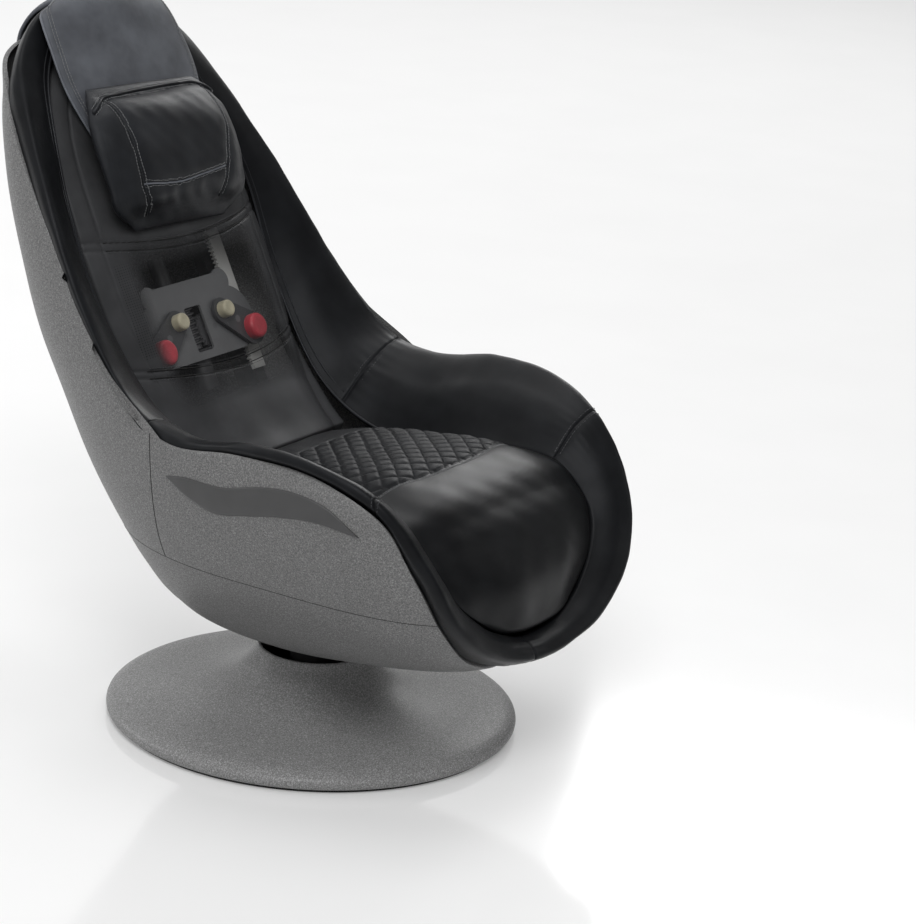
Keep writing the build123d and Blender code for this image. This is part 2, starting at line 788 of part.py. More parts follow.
def lift_gearbox():
    body = block(-GEARBOX_HALF, GEARBOX_HALF, GEARBOX_LOW, GEARBOX_HIGH, GEARBOX_BACK, PLATE_BACK)
    arms = block(-ARM_REACH, ARM_REACH, GEARBOX_LOW, GEARBOX_HIGH, GEARBOX_BACK, GEARBOX_ARM_FRONT)
    box = body + arms
    for side in (1, -1):
        box -= rod(PINION_SHAFT_RADIUS + RUNNING_GAP, GEARBOX_BACK + 3.9, FAR, side * PINION_X, PINION_S)
    motor = Rot(90, 0, 0) * Cylinder(LIFT_MOTOR_RADIUS, LIFT_MOTOR_LENGTH)
    return in_massage_plane(box + Pos(0, GEARBOX_HIGH + LIFT_MOTOR_LENGTH / 2, RAIL_MIDDLE) * motor)


def glide_shoes():
    shoes = []
    gap = SHOE_GAP
    back = RAIL_BACK + RAIL_WALL + gap
    front = RAIL_FRONT - RAIL_WALL - gap
    for side in (1, -1):
        for s in (SHOE_LOW, SHOE_HIGH):
            x0 = side * (RAIL_INNER_X + 2)
            x1 = side * (RAIL_OUTER_X - RAIL_WALL - gap)
            shoe = block(min(x0, x1), max(x0, x1), s - 11, s + 11, back, front)
            hole = Pos(side * (RAIL_INNER_X + 5), s, RAIL_MIDDLE) * Rot(0, 90, 0) * Cylinder(STUB_RADIUS, 30)
            shoes.append(in_massage_plane(shoe - hole))
    return Compound(children=shoes)


# Rails and uprights, in the massage plane

def guide_rail(side):
    outer = block(RAIL_INNER_X, RAIL_OUTER_X, RAIL_LOW, RAIL_HIGH, RAIL_BACK, RAIL_FRONT)
    back = RAIL_BACK + RAIL_WALL
    front = RAIL_FRONT - RAIL_WALL
    wall = RAIL_OUTER_X - RAIL_WALL
    rail = outer - block(RAIL_INNER_X - 1, wall, RAIL_LOW - 1, RAIL_HIGH + 1, back, front)
    return in_massage_plane(rail if side > 0 else mirror(rail, Plane.YZ))


def back_upright(side):
    low = UPRIGHT_LOW
    high = UPRIGHT_HIGH
    t = UPRIGHT_WALL
    outer = block(UPRIGHT_INNER_X, UPRIGHT_OUTER_X, low, high, UPRIGHT_BACK, UPRIGHT_FRONT)
    inner_x = UPRIGHT_INNER_X + t
    outer_x = UPRIGHT_OUTER_X - t
    upright = outer - block(inner_x, outer_x, low - 1, high + 1, UPRIGHT_BACK - 1, UPRIGHT_FRONT - t)
    return in_massage_plane(upright if side > 0 else mirror(upright, Plane.YZ))


# Foot

def foot_cover():
    outer = [
        (FOOT_RADIUS - 4, 6), (FOOT_RADIUS, 12), (FOOT_RADIUS - 1, 20), (FOOT_RADIUS - 12, 29),
        (290, 36), (240, 42), (195, 49), (160, 59), (130, 74), (108, 94), (96, 110), (NECK_RADIUS, NECK_TOP),
    ]
    inner_neck = NECK_RADIUS - COVER_WALL
    inner = [
        (inner_neck, NECK_TOP), (inner_neck, 108), (104, 90), (114, 79), (126, 69), (158, 54),
        (200, 43), (318, 24), (322, 20), (FOOT_RADIUS - 7, 6),
    ]
    return lathe(outer + inner)


def ring_of_bolts(circle, count, head_z, shank_length):
    bolts = []
    for i in range(count):
        angle = 2 * math.pi * (i + 0.5) / count
        x = circle * math.cos(angle)
        y = circle * math.sin(angle)
        bolt = rod(BOLT_RADIUS, head_z - shank_length, head_z, x, y)
        bolt += rod(BOLT_HEAD_RADIUS, head_z, head_z + BOLT_HEAD_HEIGHT, x, y)
        bolts.append(bolt)
    return Compound(children=bolts)


def bolt_holes(shape, circle, count):
    for i in range(count):
        angle = 2 * math.pi * (i + 0.5) / count
        hole = rod(BOLT_RADIUS + BOLT_HOLE_GAP, -1, FAR, circle * math.cos(angle), circle * math.sin(angle))
        shape = shape - hole
    return shape


def column():
    base = MAT_HEIGHT + PLATE_HEIGHT
    bore = SPINDLE_RADIUS + RUNNING_GAP + BUSH_WALL
    body = rod(FLANGE_RADIUS, base, base + FLANGE_HEIGHT) + rod(COLUMN_RADIUS, base, COLUMN_TOP)
    body -= rod(bore, base - 1, COLUMN_TOP + 1)
    return bolt_holes(body, BOLT_CIRCLE, BOLT_COUNT)


def spindle():
    flange_low = SADDLE_Z - FLANGE_HEIGHT
    low = MAT_HEIGHT + PLATE_HEIGHT + 6
    body = rod(SPINDLE_RADIUS, low, flange_low + 1)
    body += rod(SPINDLE_RADIUS + 12, COLUMN_TOP + WASHER_HEIGHT + 0.2, flange_low + 1)
    body += rod(FLANGE_RADIUS, flange_low, SADDLE_Z)
    return bolt_holes(body, BOLT_CIRCLE, BOLT_COUNT)


# Seat frame

def seat_frame(side):
    outline = [
        (-238, DECK_Z), (-238, 325), (-110, SADDLE_Z + SADDLE_PLATE), (105, SADDLE_Z + SADDLE_PLATE),
        (185, 272), (252, 352), (215, 372), (170, 318), (112, 318), (112, DECK_Z),
    ]
    x = side * FRAME_X
    plate = prism_along_x(outline, min(x, x + side * FRAME_PLATE), max(x, x + side * FRAME_PLATE))
    for y, z, r in ((-70, 280, 38), (40, 275, 38)):
        plate -= Pos(x, y, z) * Rot(0, 90, 0) * Cylinder(r, 40)
    return plate


def cross_tube(y):
    half = TUBE / 2
    bore = half - TUBE_WALL
    middle = DECK_Z - half
    outer = block(-FRAME_X, FRAME_X, y - half, y + half, middle - half, middle + half)
    return outer - block(-FRAME_X - 1, FRAME_X + 1, y - bore, y + bore, middle - bore, middle + bore)


def saddle_plate():
    z = SADDLE_Z
    w = SADDLE_HALF_WIDTH
    length = SADDLE_HALF_LENGTH
    t = SADDLE_PLATE
    plate = block(-w, w, -length, length, z, z + t)
    for side in (1, -1):
        x0, x1 = sorted((side * w, side * (w - t)))
        plate += block(x0, x1, -length, length, z, z + 45)
    return bolt_holes(plate, BOLT_CIRCLE, BOLT_COUNT)


def front_former():
    """Bent board that carries the front of the seat cushion."""
    face = [(-254, 360), (-276, 342), (-291, 322), (-310, 291), (-328, 262)]
    back = [(y + 9, z - 7) for y, z in reversed(face)]
    return prism_along_x(face + back, -104, 104)


# Power inlet, in its own leaning plane

def inlet_plane():
    angle = math.radians(INLET_LEAN)
    outwards = (0, math.cos(angle), -math.sin(angle))
    return Plane(origin=(0, INLET_Y, INLET_Z), x_dir=(-1, 0, 0), z_dir=outwards)


def rocker_pivot():
    return inlet_plane().location * Pos(ROCKER_X, 0, -1.5)


def power_inlet():
    w = INLET_WIDTH / 2
    h = INLET_HEIGHT / 2
    body = block(-w, w, -h, h, -INLET_DEPTH, 0)
    body += block(-w - 4, w + 4, -h - 4, h + 4, 0, FLANGE_PLATE)
    body = fillet(body.edges().filter_by(Axis.Z).group_by(SortBy.DISTANCE)[-1], 4)
    sw = SOCKET_WIDTH / 2
    sh = SOCKET_HEIGHT / 2
    body -= block(SOCKET_X - sw, SOCKET_X + sw, -sh, sh, FLANGE_PLATE - SOCKET_DEPTH, FLANGE_PLATE + 1)
    rw = ROCKER_WIDTH / 2 + 0.6
    rh = ROCKER_HEIGHT / 2 + 0.8
    body -= block(ROCKER_X - rw, ROCKER_X + rw, -rh, rh, -14, FLANGE_PLATE + 1)
    pin = Rot(0, 90, 0) * Cylinder(ROCKER_PIN_RADIUS + RUNNING_GAP, ROCKER_WIDTH + 5)
    return inlet_plane().location * (body - Pos(ROCKER_X, 0, -1.5) * pin)


def switch_rocker():
    w = ROCKER_WIDTH / 2
    h = ROCKER_HEIGHT / 2
    side = [(-h, -6), (h, -6), (h, 3), (0, 1.5), (-h, 3)]
    face = make_face(Plane.YZ * Polyline(*side, close=True))
    body = Pos(-w, 0, 0) * extrude(face, amount=2 * w, dir=(1, 0, 0))
    body += Rot(0, 90, 0) * Cylinder(ROCKER_PIN_RADIUS, ROCKER_WIDTH + 4)
    return rocker_pivot() * Rot(-ROCKER_THROW / 2, 0, 0) * body


# Build

def main():
    os.makedirs("parts", exist_ok=True)
    base_top = MAT_HEIGHT + PLATE_HEIGHT
    write(rod(MAT_RADIUS, 0, MAT_HEIGHT), "anti_slip_mat")
    write(bolt_holes(rod(PLATE_RADIUS, MAT_HEIGHT, base_top), BOLT_CIRCLE, BOLT_COUNT), "floor_plate")
    write(foot_cover(), "foot_cover")
    write(column(), "column")
    grip = FLANGE_HEIGHT + PLATE_HEIGHT
    write(ring_of_bolts(BOLT_CIRCLE, BOLT_COUNT, base_top + FLANGE_HEIGHT, grip), "column_bolts")
    bush_inner = SPINDLE_RADIUS + RUNNING_GAP
    bush = rod(bush_inner + BUSH_WALL, base_top + 5, COLUMN_TOP) - rod(bush_inner, 0, FAR)
    write(bush, "swivel_bush")
    washer = rod(COLUMN_RADIUS - 1, COLUMN_TOP, COLUMN_TOP + WASHER_HEIGHT) - rod(bush_inner + 0.5, 0, FAR)
    write(washer, "thrust_washer")

    write(spindle(), "swivel_spindle")
    write(saddle_plate(), "saddle_plate")
    grip = FLANGE_HEIGHT + SADDLE_PLATE - 1
    write(ring_of_bolts(BOLT_CIRCLE, BOLT_COUNT, SADDLE_Z + SADDLE_PLATE, grip), "saddle_bolts")
    for name, side in X_SIDES.items():
        write(seat_frame(side), f"seat_frame_{name}")
        write(back_upright(side), f"back_upright_{name}")
        write(guide_rail(side), f"guide_rail_{name}")
        write(rack(side), f"rack_{name}")
        write(foam_strip(side), f"back_foam_{name}")
    write(cross_tube(-218), "front_cross_tube")
    write(cross_tube(98), "rear_cross_tube")
    deck = block(-DECK_HALF_WIDTH, DECK_HALF_WIDTH, DECK_FRONT, DECK_BACK, DECK_Z, DECK_Z + DECK_THICKNESS)
    write(deck, "seat_deck")
    write(front_former(), "front_former")
    write(block(-85, 85, -150, 20, DECK_Z - 46, DECK_Z), "control_box")

    belly, rear, left, right = shell_panels()
    inlet = power_inlet()
    w = INLET_WIDTH / 2 + 0.5
    h = INLET_HEIGHT / 2 + 0.5
    rear = rear - inlet_plane().location * block(-w, w, -h, h, -40, 40)
    write(belly, "belly_pan")
    write(rear, "rear_shell")
    write(left, "side_shell_left")
    write(right, "side_shell_right")
    write(inlet, "power_inlet")
    write(switch_rocker(), "switch_rocker")

    gap = RIM_SEAM_GAP / 2
    seam = BACK_SEAM_AT
    front = FRONT_SEAM_AT
    last = len(RIM_RIDGE) - 1
    rim_back = rim_piece(places_between(-seam + gap, seam - gap, 19))
    arm_left = rim_piece(places_between(seam + gap, front - gap, 9))
    arm_right = mirror(arm_left, Plane.YZ)
    half = [front + gap] + places_between(front + 0.25, last, 8)
    apron = rim_piece(half + [-t for t in reversed(half[:-1])])
    write(rim_back, "rim_back")
    write(arm_left, "arm_roll_left")
    write(arm_right, "arm_roll_right")
    write(apron, "front_apron")
    rims = [rim_back, arm_left, arm_right, apron]
    write(seat_cushion() - rims, "seat_cushion")
    write(back_cover() - rims, "back_cover")
    write(upper_back_foam() - rims, "upper_back_foam")
    write(head_flap(), "head_flap")
    write(crown_strip(), "crown_strip")
    write(pillow(), "head_pillow")

    write(carriage_plate(), "carriage_plate")
    write(gear_case(), "gear_case")
    write(knead_motor(), "knead_motor")
    write(lift_gearbox(), "lift_gearbox")
    write(glide_shoes(), "glide_shoes")
    write(worm(), "worm")
    for name, side in X_SIDES.items():
        large, small = arm_tips(side)
        write(knead_gear(side), f"knead_gear_{name}")
        write(knead_arm(side), f"knead_arm_{name}")
        write(head(LARGE_HEAD_RADIUS, large, 7), f"large_head_{name}")
        write(head(SMALL_HEAD_RADIUS, small, 5), f"small_head_{name}")
        write(idler(side), f"idler_gear_{name}")
        write(lift_pinion(side), f"lift_pinion_{name}")


if __name__ == "__main__":
    main()
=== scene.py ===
import json
import math
import random

import bpy
import numpy as np
from mathutils import Matrix, Vector
from mathutils.bvhtree import BVHTree

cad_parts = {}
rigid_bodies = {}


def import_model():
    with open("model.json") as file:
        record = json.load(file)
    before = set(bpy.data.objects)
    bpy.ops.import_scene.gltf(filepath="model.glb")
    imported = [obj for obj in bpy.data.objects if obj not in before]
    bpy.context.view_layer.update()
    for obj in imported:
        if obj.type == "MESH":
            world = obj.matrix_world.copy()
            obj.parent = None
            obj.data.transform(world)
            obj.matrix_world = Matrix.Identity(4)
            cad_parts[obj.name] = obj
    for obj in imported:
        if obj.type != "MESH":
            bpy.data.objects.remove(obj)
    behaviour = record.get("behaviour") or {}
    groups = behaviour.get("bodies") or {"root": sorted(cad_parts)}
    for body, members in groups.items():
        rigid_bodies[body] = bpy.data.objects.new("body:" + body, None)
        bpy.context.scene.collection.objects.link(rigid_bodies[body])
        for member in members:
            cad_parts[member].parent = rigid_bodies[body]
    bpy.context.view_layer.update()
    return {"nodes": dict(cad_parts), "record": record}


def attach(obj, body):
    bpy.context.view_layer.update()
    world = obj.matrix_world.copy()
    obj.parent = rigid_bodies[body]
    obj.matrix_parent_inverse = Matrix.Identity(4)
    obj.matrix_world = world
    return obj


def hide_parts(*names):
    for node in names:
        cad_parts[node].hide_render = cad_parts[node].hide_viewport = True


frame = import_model()
nodes = frame["nodes"]
random.seed(4)
MM = 0.001
bpy.context.scene.view_settings.view_transform = "Standard"

# Camera, fitted to the photograph: degrees, and pixels of the 916 x 924 frame
AZIMUTH = -58.9
ELEVATION = 17.336
ROLL = 4.194
FOCAL_PX = 3200
FRAME_PX = (916, 924)
ORIGIN_PX = (311.19, 713.26)
PX_PER_MM = 0.619
SENSOR_WIDTH = 36

# Named values of the source, in millimetres
SHELL_STATIONS = [
    (126, 60, 0, 60, -60, 2.2), (155, 130, -10, 190, -190, 2.3), (200, 200, -30, 248, -375, 3.0),
    (260, 262, -45, 282, -436, 3.6), (330, 308, -55, 321, -444, 4.0),
    (420, 342, -60, 378, -428, 3.8), (510, 357, -45, 427, -392, 3.2),
    (600, 338, 120, 463, -100, 2.4), (720, 316, 243, 503, 0, 2.2), (850, 285, 345, 541, 120, 2.2),
    (960, 247, 430, 550, 250, 2.2), (1040, 196, 492, 541, 370, 2.2),
    (1078, 130, 505, 530, 440, 2.2),
]
BACK_SQUARENESS = 2.3
SHELL_EDGE = [
    (0, 541, 1040), (140, 524, 1028), (230, 479, 978), (265, 425, 900), (303, 329, 783),
    (326, 242, 668), (343, 133, 561), (353, 45, 522), (353, -76, 534), (340, -202, 526),
    (318, -306, 480), (292, -358, 394), (242, -383, 302), (150, -382, 228), (0, -375, 196),
]
RIM_RIDGE = [
    (0, 503, 1097), (120, 499, 1082), (200, 474, 1024), (245, 420, 946), (288, 332, 820),
    (314, 245, 692), (327, 137, 568), (338, 30, 535), (350, -86, 550), (344, -200, 544),
    (319, -305, 504), (292, -384, 410), (250, -420, 318), (150, -438, 250), (0, -442, 226),
]
RIM_CREASE = [
    (0, 483, 1052), (100, 477, 1043), (160, 452, 998), (192, 417, 928), (226, 346, 792),
    (223, 276, 640), (203, 162, 492), (204, 36, 424), (210, -80, 438), (216, -190, 451),
    (228, -285, 443), (226, -352, 384), (190, -382, 326), (110, -399, 270), (0, -405, 248),
]
RIM_SHOULDER = 0.42
RIM_BULGE = 0.13
RIM_CHEEK = 4
RIM_INSIDE = 4
BACK_SEAM_AT = 6.4
FRONT_SEAM_AT = 9.95
PLANE_Y = 235
PLANE_Z = 573
PLANE_SLOPE = 0.53
COVER_STATIONS = [
    (-190, 172, 50), (-160, 176, 37), (-124, 181, 26), (-92, 187, 17), (-60, 196, 10),
    (-20, 210, 3), (60, 222, 0), (160, 226, 0), (250, 221, 0), (340, 208, -3), (420, 182, -4),
    (480, 146, -5), (520, 100, -5), (534, 60, -5),
]
COVER_CROWN = 34
SEAT_STATIONS = [
    (188, 104, 408, 104, 368, 24), (196, 60, 414, 60, 368, 26), (202, 14, 424, 14, 370, 25),
    (208, -70, 439, -70, 372, 22), (213, -190, 453, -190, 376, 19), (225, -285, 443, -262, 375, 22),
    (226, -325, 413, -285, 345, 24), (221, -352, 384, -298, 325, 25),
    (186, -380, 326, -318, 292, 24), (106, -396, 272, -335, 262, 18), (50, -400, 256, -345, 252, 8),
]
FLAP_STATIONS = [
    (132, 358, 881, 8), (162, 405, 970, 10), (160, 440, 1041, 16), (151, 462, 1082, 22),
    (136, 481, 1097, 22), (88, 502, 1102, 12),
]
STRIP_STATIONS = [
    (88, 506, 1101.4, 11), (128, 525, 1088, 20), (136, 543, 1057, 19), (134, 550, 1026, 15),
    (130, 555, 990, 14),
]
PILLOW_STATIONS = [
    (194, 112, 48), (214, 150, 70), (262, 171, 92), (324, 176, 100), (380, 167, 95), (408, 150, 84),
    (424, 132, 66),
]
PILLOW_BACK = 33
PILLOW_SHIFT = -17
BELLY_SEAM_Z = 318
CLOTH_VOXEL = 6.0
CLOTH_CAP = 22
SHELL_ROWS = 72
SHELL_LIP = [(7, 0), (5.6, 0.8), (2, 1.2), (0.5, 0.6)]
WAVE_UPPER = [(53, 472), (22, 478), (-55, 480), (-120, 496), (-176, 501), (-235, 488), (-285, 452)]
WAVE_LOWER = [(53, 472), (10, 447), (-33, 434), (-90, 443), (-151, 456), (-220, 462), (-285, 452)]
WAVE_SECTION = [(0, -0.6), (0, 1.2), (0.03, 2.0), (0.1, 2.2), (0.25, 2.2), (0.4, 2.2), (0.5, 2.2)]
FOOT_OUTSIDE = [
    (323, 5.2), (327.5, 7.5), (330, 13), (329, 20), (318, 29), (290, 36), (240, 42),
    (195, 49), (160, 59), (130, 74), (108, 94), (96, 110), (92, 120),
]
HINGE_Y = 503.25
HINGE_Z = 1108.5
HINGE_RADIUS = 2.2
HINGE_HALF_WIDTH = 18


# Curves and surfaces of the chair, in millimetres

def curve_point(points, t):
    """A point of the smooth curve through the points, which a mirror in X continues at both ends."""
    p = np.asarray(points, float)
    flip = np.array([-1.0, 1.0, 1.0])
    side = t < 0
    t = abs(t)
    last = len(p) - 1
    if t > last:
        t = 2 * last - t
        side = not side
    i = min(int(t), last - 1)
    u = t - i
    a = p[i]
    b = p[i + 1]
    before = p[i - 1] if i > 0 else b * flip
    after = p[i + 2] if i + 2 <= last else a * flip
    ta = (b - before) / 2
    tb = (after - a) / 2
    q = a * (2 * u**3 - 3 * u**2 + 1) + ta * (u**3 - 2 * u**2 + u)
    q = q + b * (-2 * u**3 + 3 * u**2) + tb * (u**3 - u**2)
    return q * flip if side else q


def along_rows(rows, v):
    """Smooth interpolation through rows of numbers whose first number is the place v, vectorised in v."""
    table = np.asarray(rows, float)
    x = table[:, 0]
    v = np.clip(np.asarray(v, float), x[0], x[-1])
    slope = np.gradient(table, x, axis=0)
    i = np.clip(np.searchsorted(x, v, side="right") - 1, 0, len(x) - 2)
    h = (x[i + 1] - x[i])[..., None]
    u = ((v - x[i]) / (x[i + 1] - x[i]))[..., None]
    out = table[i] * (2 * u**3 - 3 * u**2 + 1) + slope[i] * h * (u**3 - 2 * u**2 + u)
    return out + table[i + 1] * (-2 * u**3 + 3 * u**2) + slope[i + 1] * h * (u**3 - u**2)


def numbered(rows):
    """The rows as an array, each with its number in front."""
    return np.array([(i, *row) for i, row in enumerate(rows)], float)


def spline_through(points, count):
    """Evenly spaced points of a smooth curve through a few points."""
    p = np.asarray(points, float)
    chord = np.concatenate([[0], np.cumsum(np.linalg.norm(np.diff(p, axis=0), axis=1))])
    table = np.column_stack([chord, p])
    return along_rows(table, np.linspace(0, chord[-1], count))[:, 1:]


def shell_point(angle, z):
    """Point of the shell's outside at an angle round the section and a height, vectorised."""
    _, half, middle, back, front, square = np.moveaxis(along_rows(SHELL_STATIONS, z), -1, 0)
    c = np.cos(angle)
    s = np.sin(angle)
    power = np.where(s > 0, 2 / BACK_SQUARENESS, 2 / square)
    reach = np.where(s > 0, back - middle, middle - front)
    x = half * np.sign(c) * np.abs(c) ** power
    y = middle + reach * np.sign(s) * np.abs(s) ** power
    return np.stack(np.broadcast_arrays(x, y, z), axis=-1)


def shell_angle(point):
    x, y, z = point
    _, half, middle, back, front, square = along_rows(SHELL_STATIONS, z)
    square = BACK_SQUARENESS if y > middle else square
    reach = back - middle if y > middle else middle - front
    c = math.copysign((min(abs(x) / half, 1)) ** (square / 2), x)
    s = math.copysign((min(abs(y - middle) / reach, 1)) ** (square / 2), y - middle)
    return math.atan2(s, c)


def shell_x(y, z):
    """Half width of the shell at a place on its side."""
    _, half, middle, back, front, square = along_rows(SHELL_STATIONS, z)
    square = BACK_SQUARENESS if y > middle else square
    reach = back - middle if y > middle else middle - front
    return half * (1 - min(abs(y - middle) / reach, 1) ** square) ** (1 / square)


LEAN = math.atan(PLANE_SLOPE)
UP_BACK = np.array([0, math.sin(LEAN), math.cos(LEAN)])
TO_SITTER = np.array([0, -math.cos(LEAN), math.sin(LEAN)])


def massage(x, s, n):
    """Row frame point of a place in the massage plane, vectorised."""
    x, s, n = np.broadcast_arrays(np.asarray(x, float), s, n)
    out = np.stack([x, np.full(x.shape, float(PLANE_Y)), np.full(x.shape, float(PLANE_Z))], axis=-1)
    return out + s[..., None] * UP_BACK + n[..., None] * TO_SITTER


def cover_height(x, s):
    _, half, edge = np.moveaxis(along_rows(COVER_STATIONS, s), -1, 0)
    return edge + COVER_CROWN * (1 - np.clip(np.abs(x) / half, 0, 1) ** 4)


def bump(d, width):
    return np.exp(-((np.asarray(d) / width) ** 2))


def smoothstep(a, b, v):
    u = np.clip((np.asarray(v, float) - a) / (b - a), 0, 1)
    return u * u * (3 - 2 * u)


def wave_noise(p, size, seed=0):
    """Cheap smooth noise from a few sine waves, about -1 to 1."""
    rng = np.random.RandomState(seed)
    total = np.zeros(p.shape[:-1])
    for _ in range(7):
        k = rng.normal(size=3) / size
        total = total + np.sin(p @ k * 2 * math.pi / 2.2 + rng.uniform(0, 6.28))
    return total / 3.2


# Mesh making

def mesh_object(name, verts, faces, material, smooth=True):
    mesh = bpy.data.meshes.new(name)
    mesh.from_pydata([tuple(v * MM) for v in np.asarray(verts, float).reshape(-1, 3)], [], faces)
    mesh.validate()
    if smooth:
        mesh.polygons.foreach_set("use_smooth", [True] * len(mesh.polygons))
    obj = bpy.data.objects.new(name, mesh)
    bpy.context.scene.collection.objects.link(obj)
    if material:
        mesh.materials.append(material)
    return obj


def grid_faces(rows, cols, wrap_rows=False, wrap_cols=False, flip=False):
    faces = []
    for i in range(rows if wrap_rows else rows - 1):
        for j in range(cols if wrap_cols else cols - 1):
            a = i * cols + j
            b = i * cols + (j + 1) % cols
            c = ((i + 1) % rows) * cols + (j + 1) % cols
            d = ((i + 1) % rows) * cols + j
            faces.append((a, d, c, b) if flip else (a, b, c, d))
    return faces


def grid_object(name, grid, material, wrap_rows=False, wrap_cols=False, flip=False):
    rows, cols = grid.shape[:2]
    return mesh_object(name, grid, grid_faces(rows, cols, wrap_rows, wrap_cols, flip), material)


def tube_grid(path, radius, sides=8, closed=False):
    """Grid of a tube round a path. radius is one number or one for each point."""
    p = np.asarray(path, float)
    tangent = np.roll(p, -1, 0) - np.roll(p, 1, 0) if closed else np.gradient(p, axis=0)
    tangent /= np.linalg.norm(tangent, axis=1)[:, None] + 1e-12
    guess = np.array([0.0, 0, 1]) if abs(tangent[0][2]) < 0.9 else np.array([1.0, 0, 0])
    normal = []
    for t in tangent:
        guess = guess - t * guess.dot(t)
        guess = guess / np.linalg.norm(guess)
        normal.append(guess)
    normal = np.array(normal)
    side = np.cross(tangent, normal)
    r = np.broadcast_to(radius, (len(p),))
    a = np.linspace(0, 2 * math.pi, sides, endpoint=False)
    ring = np.cos(a)[None, :, None] * normal[:, None] + np.sin(a)[None, :, None] * side[:, None]
    return p[:, None] + ring * r[:, None, None]


def tube(name, path, radius, material, sides=8, closed=False):
    grid = tube_grid(path, radius, sides, closed)
    if not closed:
        first, last = (np.repeat(end.mean(1, keepdims=True), sides, 1) for end in (grid[:1], grid[-1:]))
        grid = np.concatenate([first, grid, last])
    return grid_object(name, grid, material, wrap_rows=closed, wrap_cols=True)


def join(name, objects):
    first = objects[0]
    for o in bpy.context.view_layer.objects:
        o.select_set(False)
    for o in objects:
        o.select_set(True)
    bpy.context.view_layer.objects.active = first
    if len(objects) > 1:
        bpy.ops.object.join()
    first.name = name
    first.data.name = name
    return first


def inflated(name, grid, voxel, cap, frames=20):
    """Surface of a closed cover after its filling has blown it up; no point moves further than the cap."""
    rows, cols = grid.shape[:2]
    faces = grid_faces(rows, cols, wrap_cols=True, flip=True)
    faces += [tuple(range(cols)), tuple(range(rows * cols - 1, (rows - 1) * cols - 1, -1))]
    closed = mesh_object(name, grid, faces, None, False)
    remesh = closed.modifiers.new("remesh", "REMESH")
    remesh.mode = "VOXEL"
    remesh.voxel_size = voxel * MM
    mesh = bpy.data.meshes.new_from_object(closed.evaluated_get(bpy.context.evaluated_depsgraph_get()))
    work = bpy.data.objects.new(name + "_work", mesh)
    bpy.context.scene.collection.objects.link(work)
    cloth = work.modifiers.new("cloth", "CLOTH")
    cloth.settings.quality = 5
    cloth.settings.use_pressure = True
    cloth.settings.uniform_pressure_force = 4
    cloth.settings.effector_weights.gravity = 0
    for frame_number in range(1, frames + 1):
        bpy.context.scene.frame_set(frame_number)
    start = np.array([v.co[:] for v in mesh.vertices])
    final = work.evaluated_get(bpy.context.evaluated_depsgraph_get()).data
    move = np.array([v.co[:] for v in final.vertices]) - start
    far = np.linalg.norm(move, axis=1)[:, None] + 1e-9
    place = start + move * np.minimum(1, cap * MM / far)
    tree = BVHTree.FromPolygons([tuple(p) for p in place], [tuple(p.vertices) for p in mesh.polygons])
    bpy.context.scene.frame_set(1)
    for obj in (work, closed):
        bpy.data.objects.remove(obj)
    return tree


def swell(tree, grid, normal, low, high, calm=3):
    """How far each point of the grid has to go along its normal to reach the simulated surface."""
    out = np.zeros(grid.shape[:2])
    for i in range(grid.shape[0]):
        for j in range(grid.shape[1]):
            n = Vector(normal[i, j])
            p = Vector(grid[i, j]) * MM
            hit = tree.ray_cast(p + n * 0.04, -n, 0.08)
            if hit[0] is not None:
                out[i, j] = (hit[0] - p).dot(n) / MM
    out = np.clip(out, low, high)
    for _ in range(calm):
        out = (out + np.roll(out, 1, 0) + np.roll(out, -1, 0) + np.roll(out, 1, 1) + np.roll(out, -1, 1)) / 5
    return out


# Materials

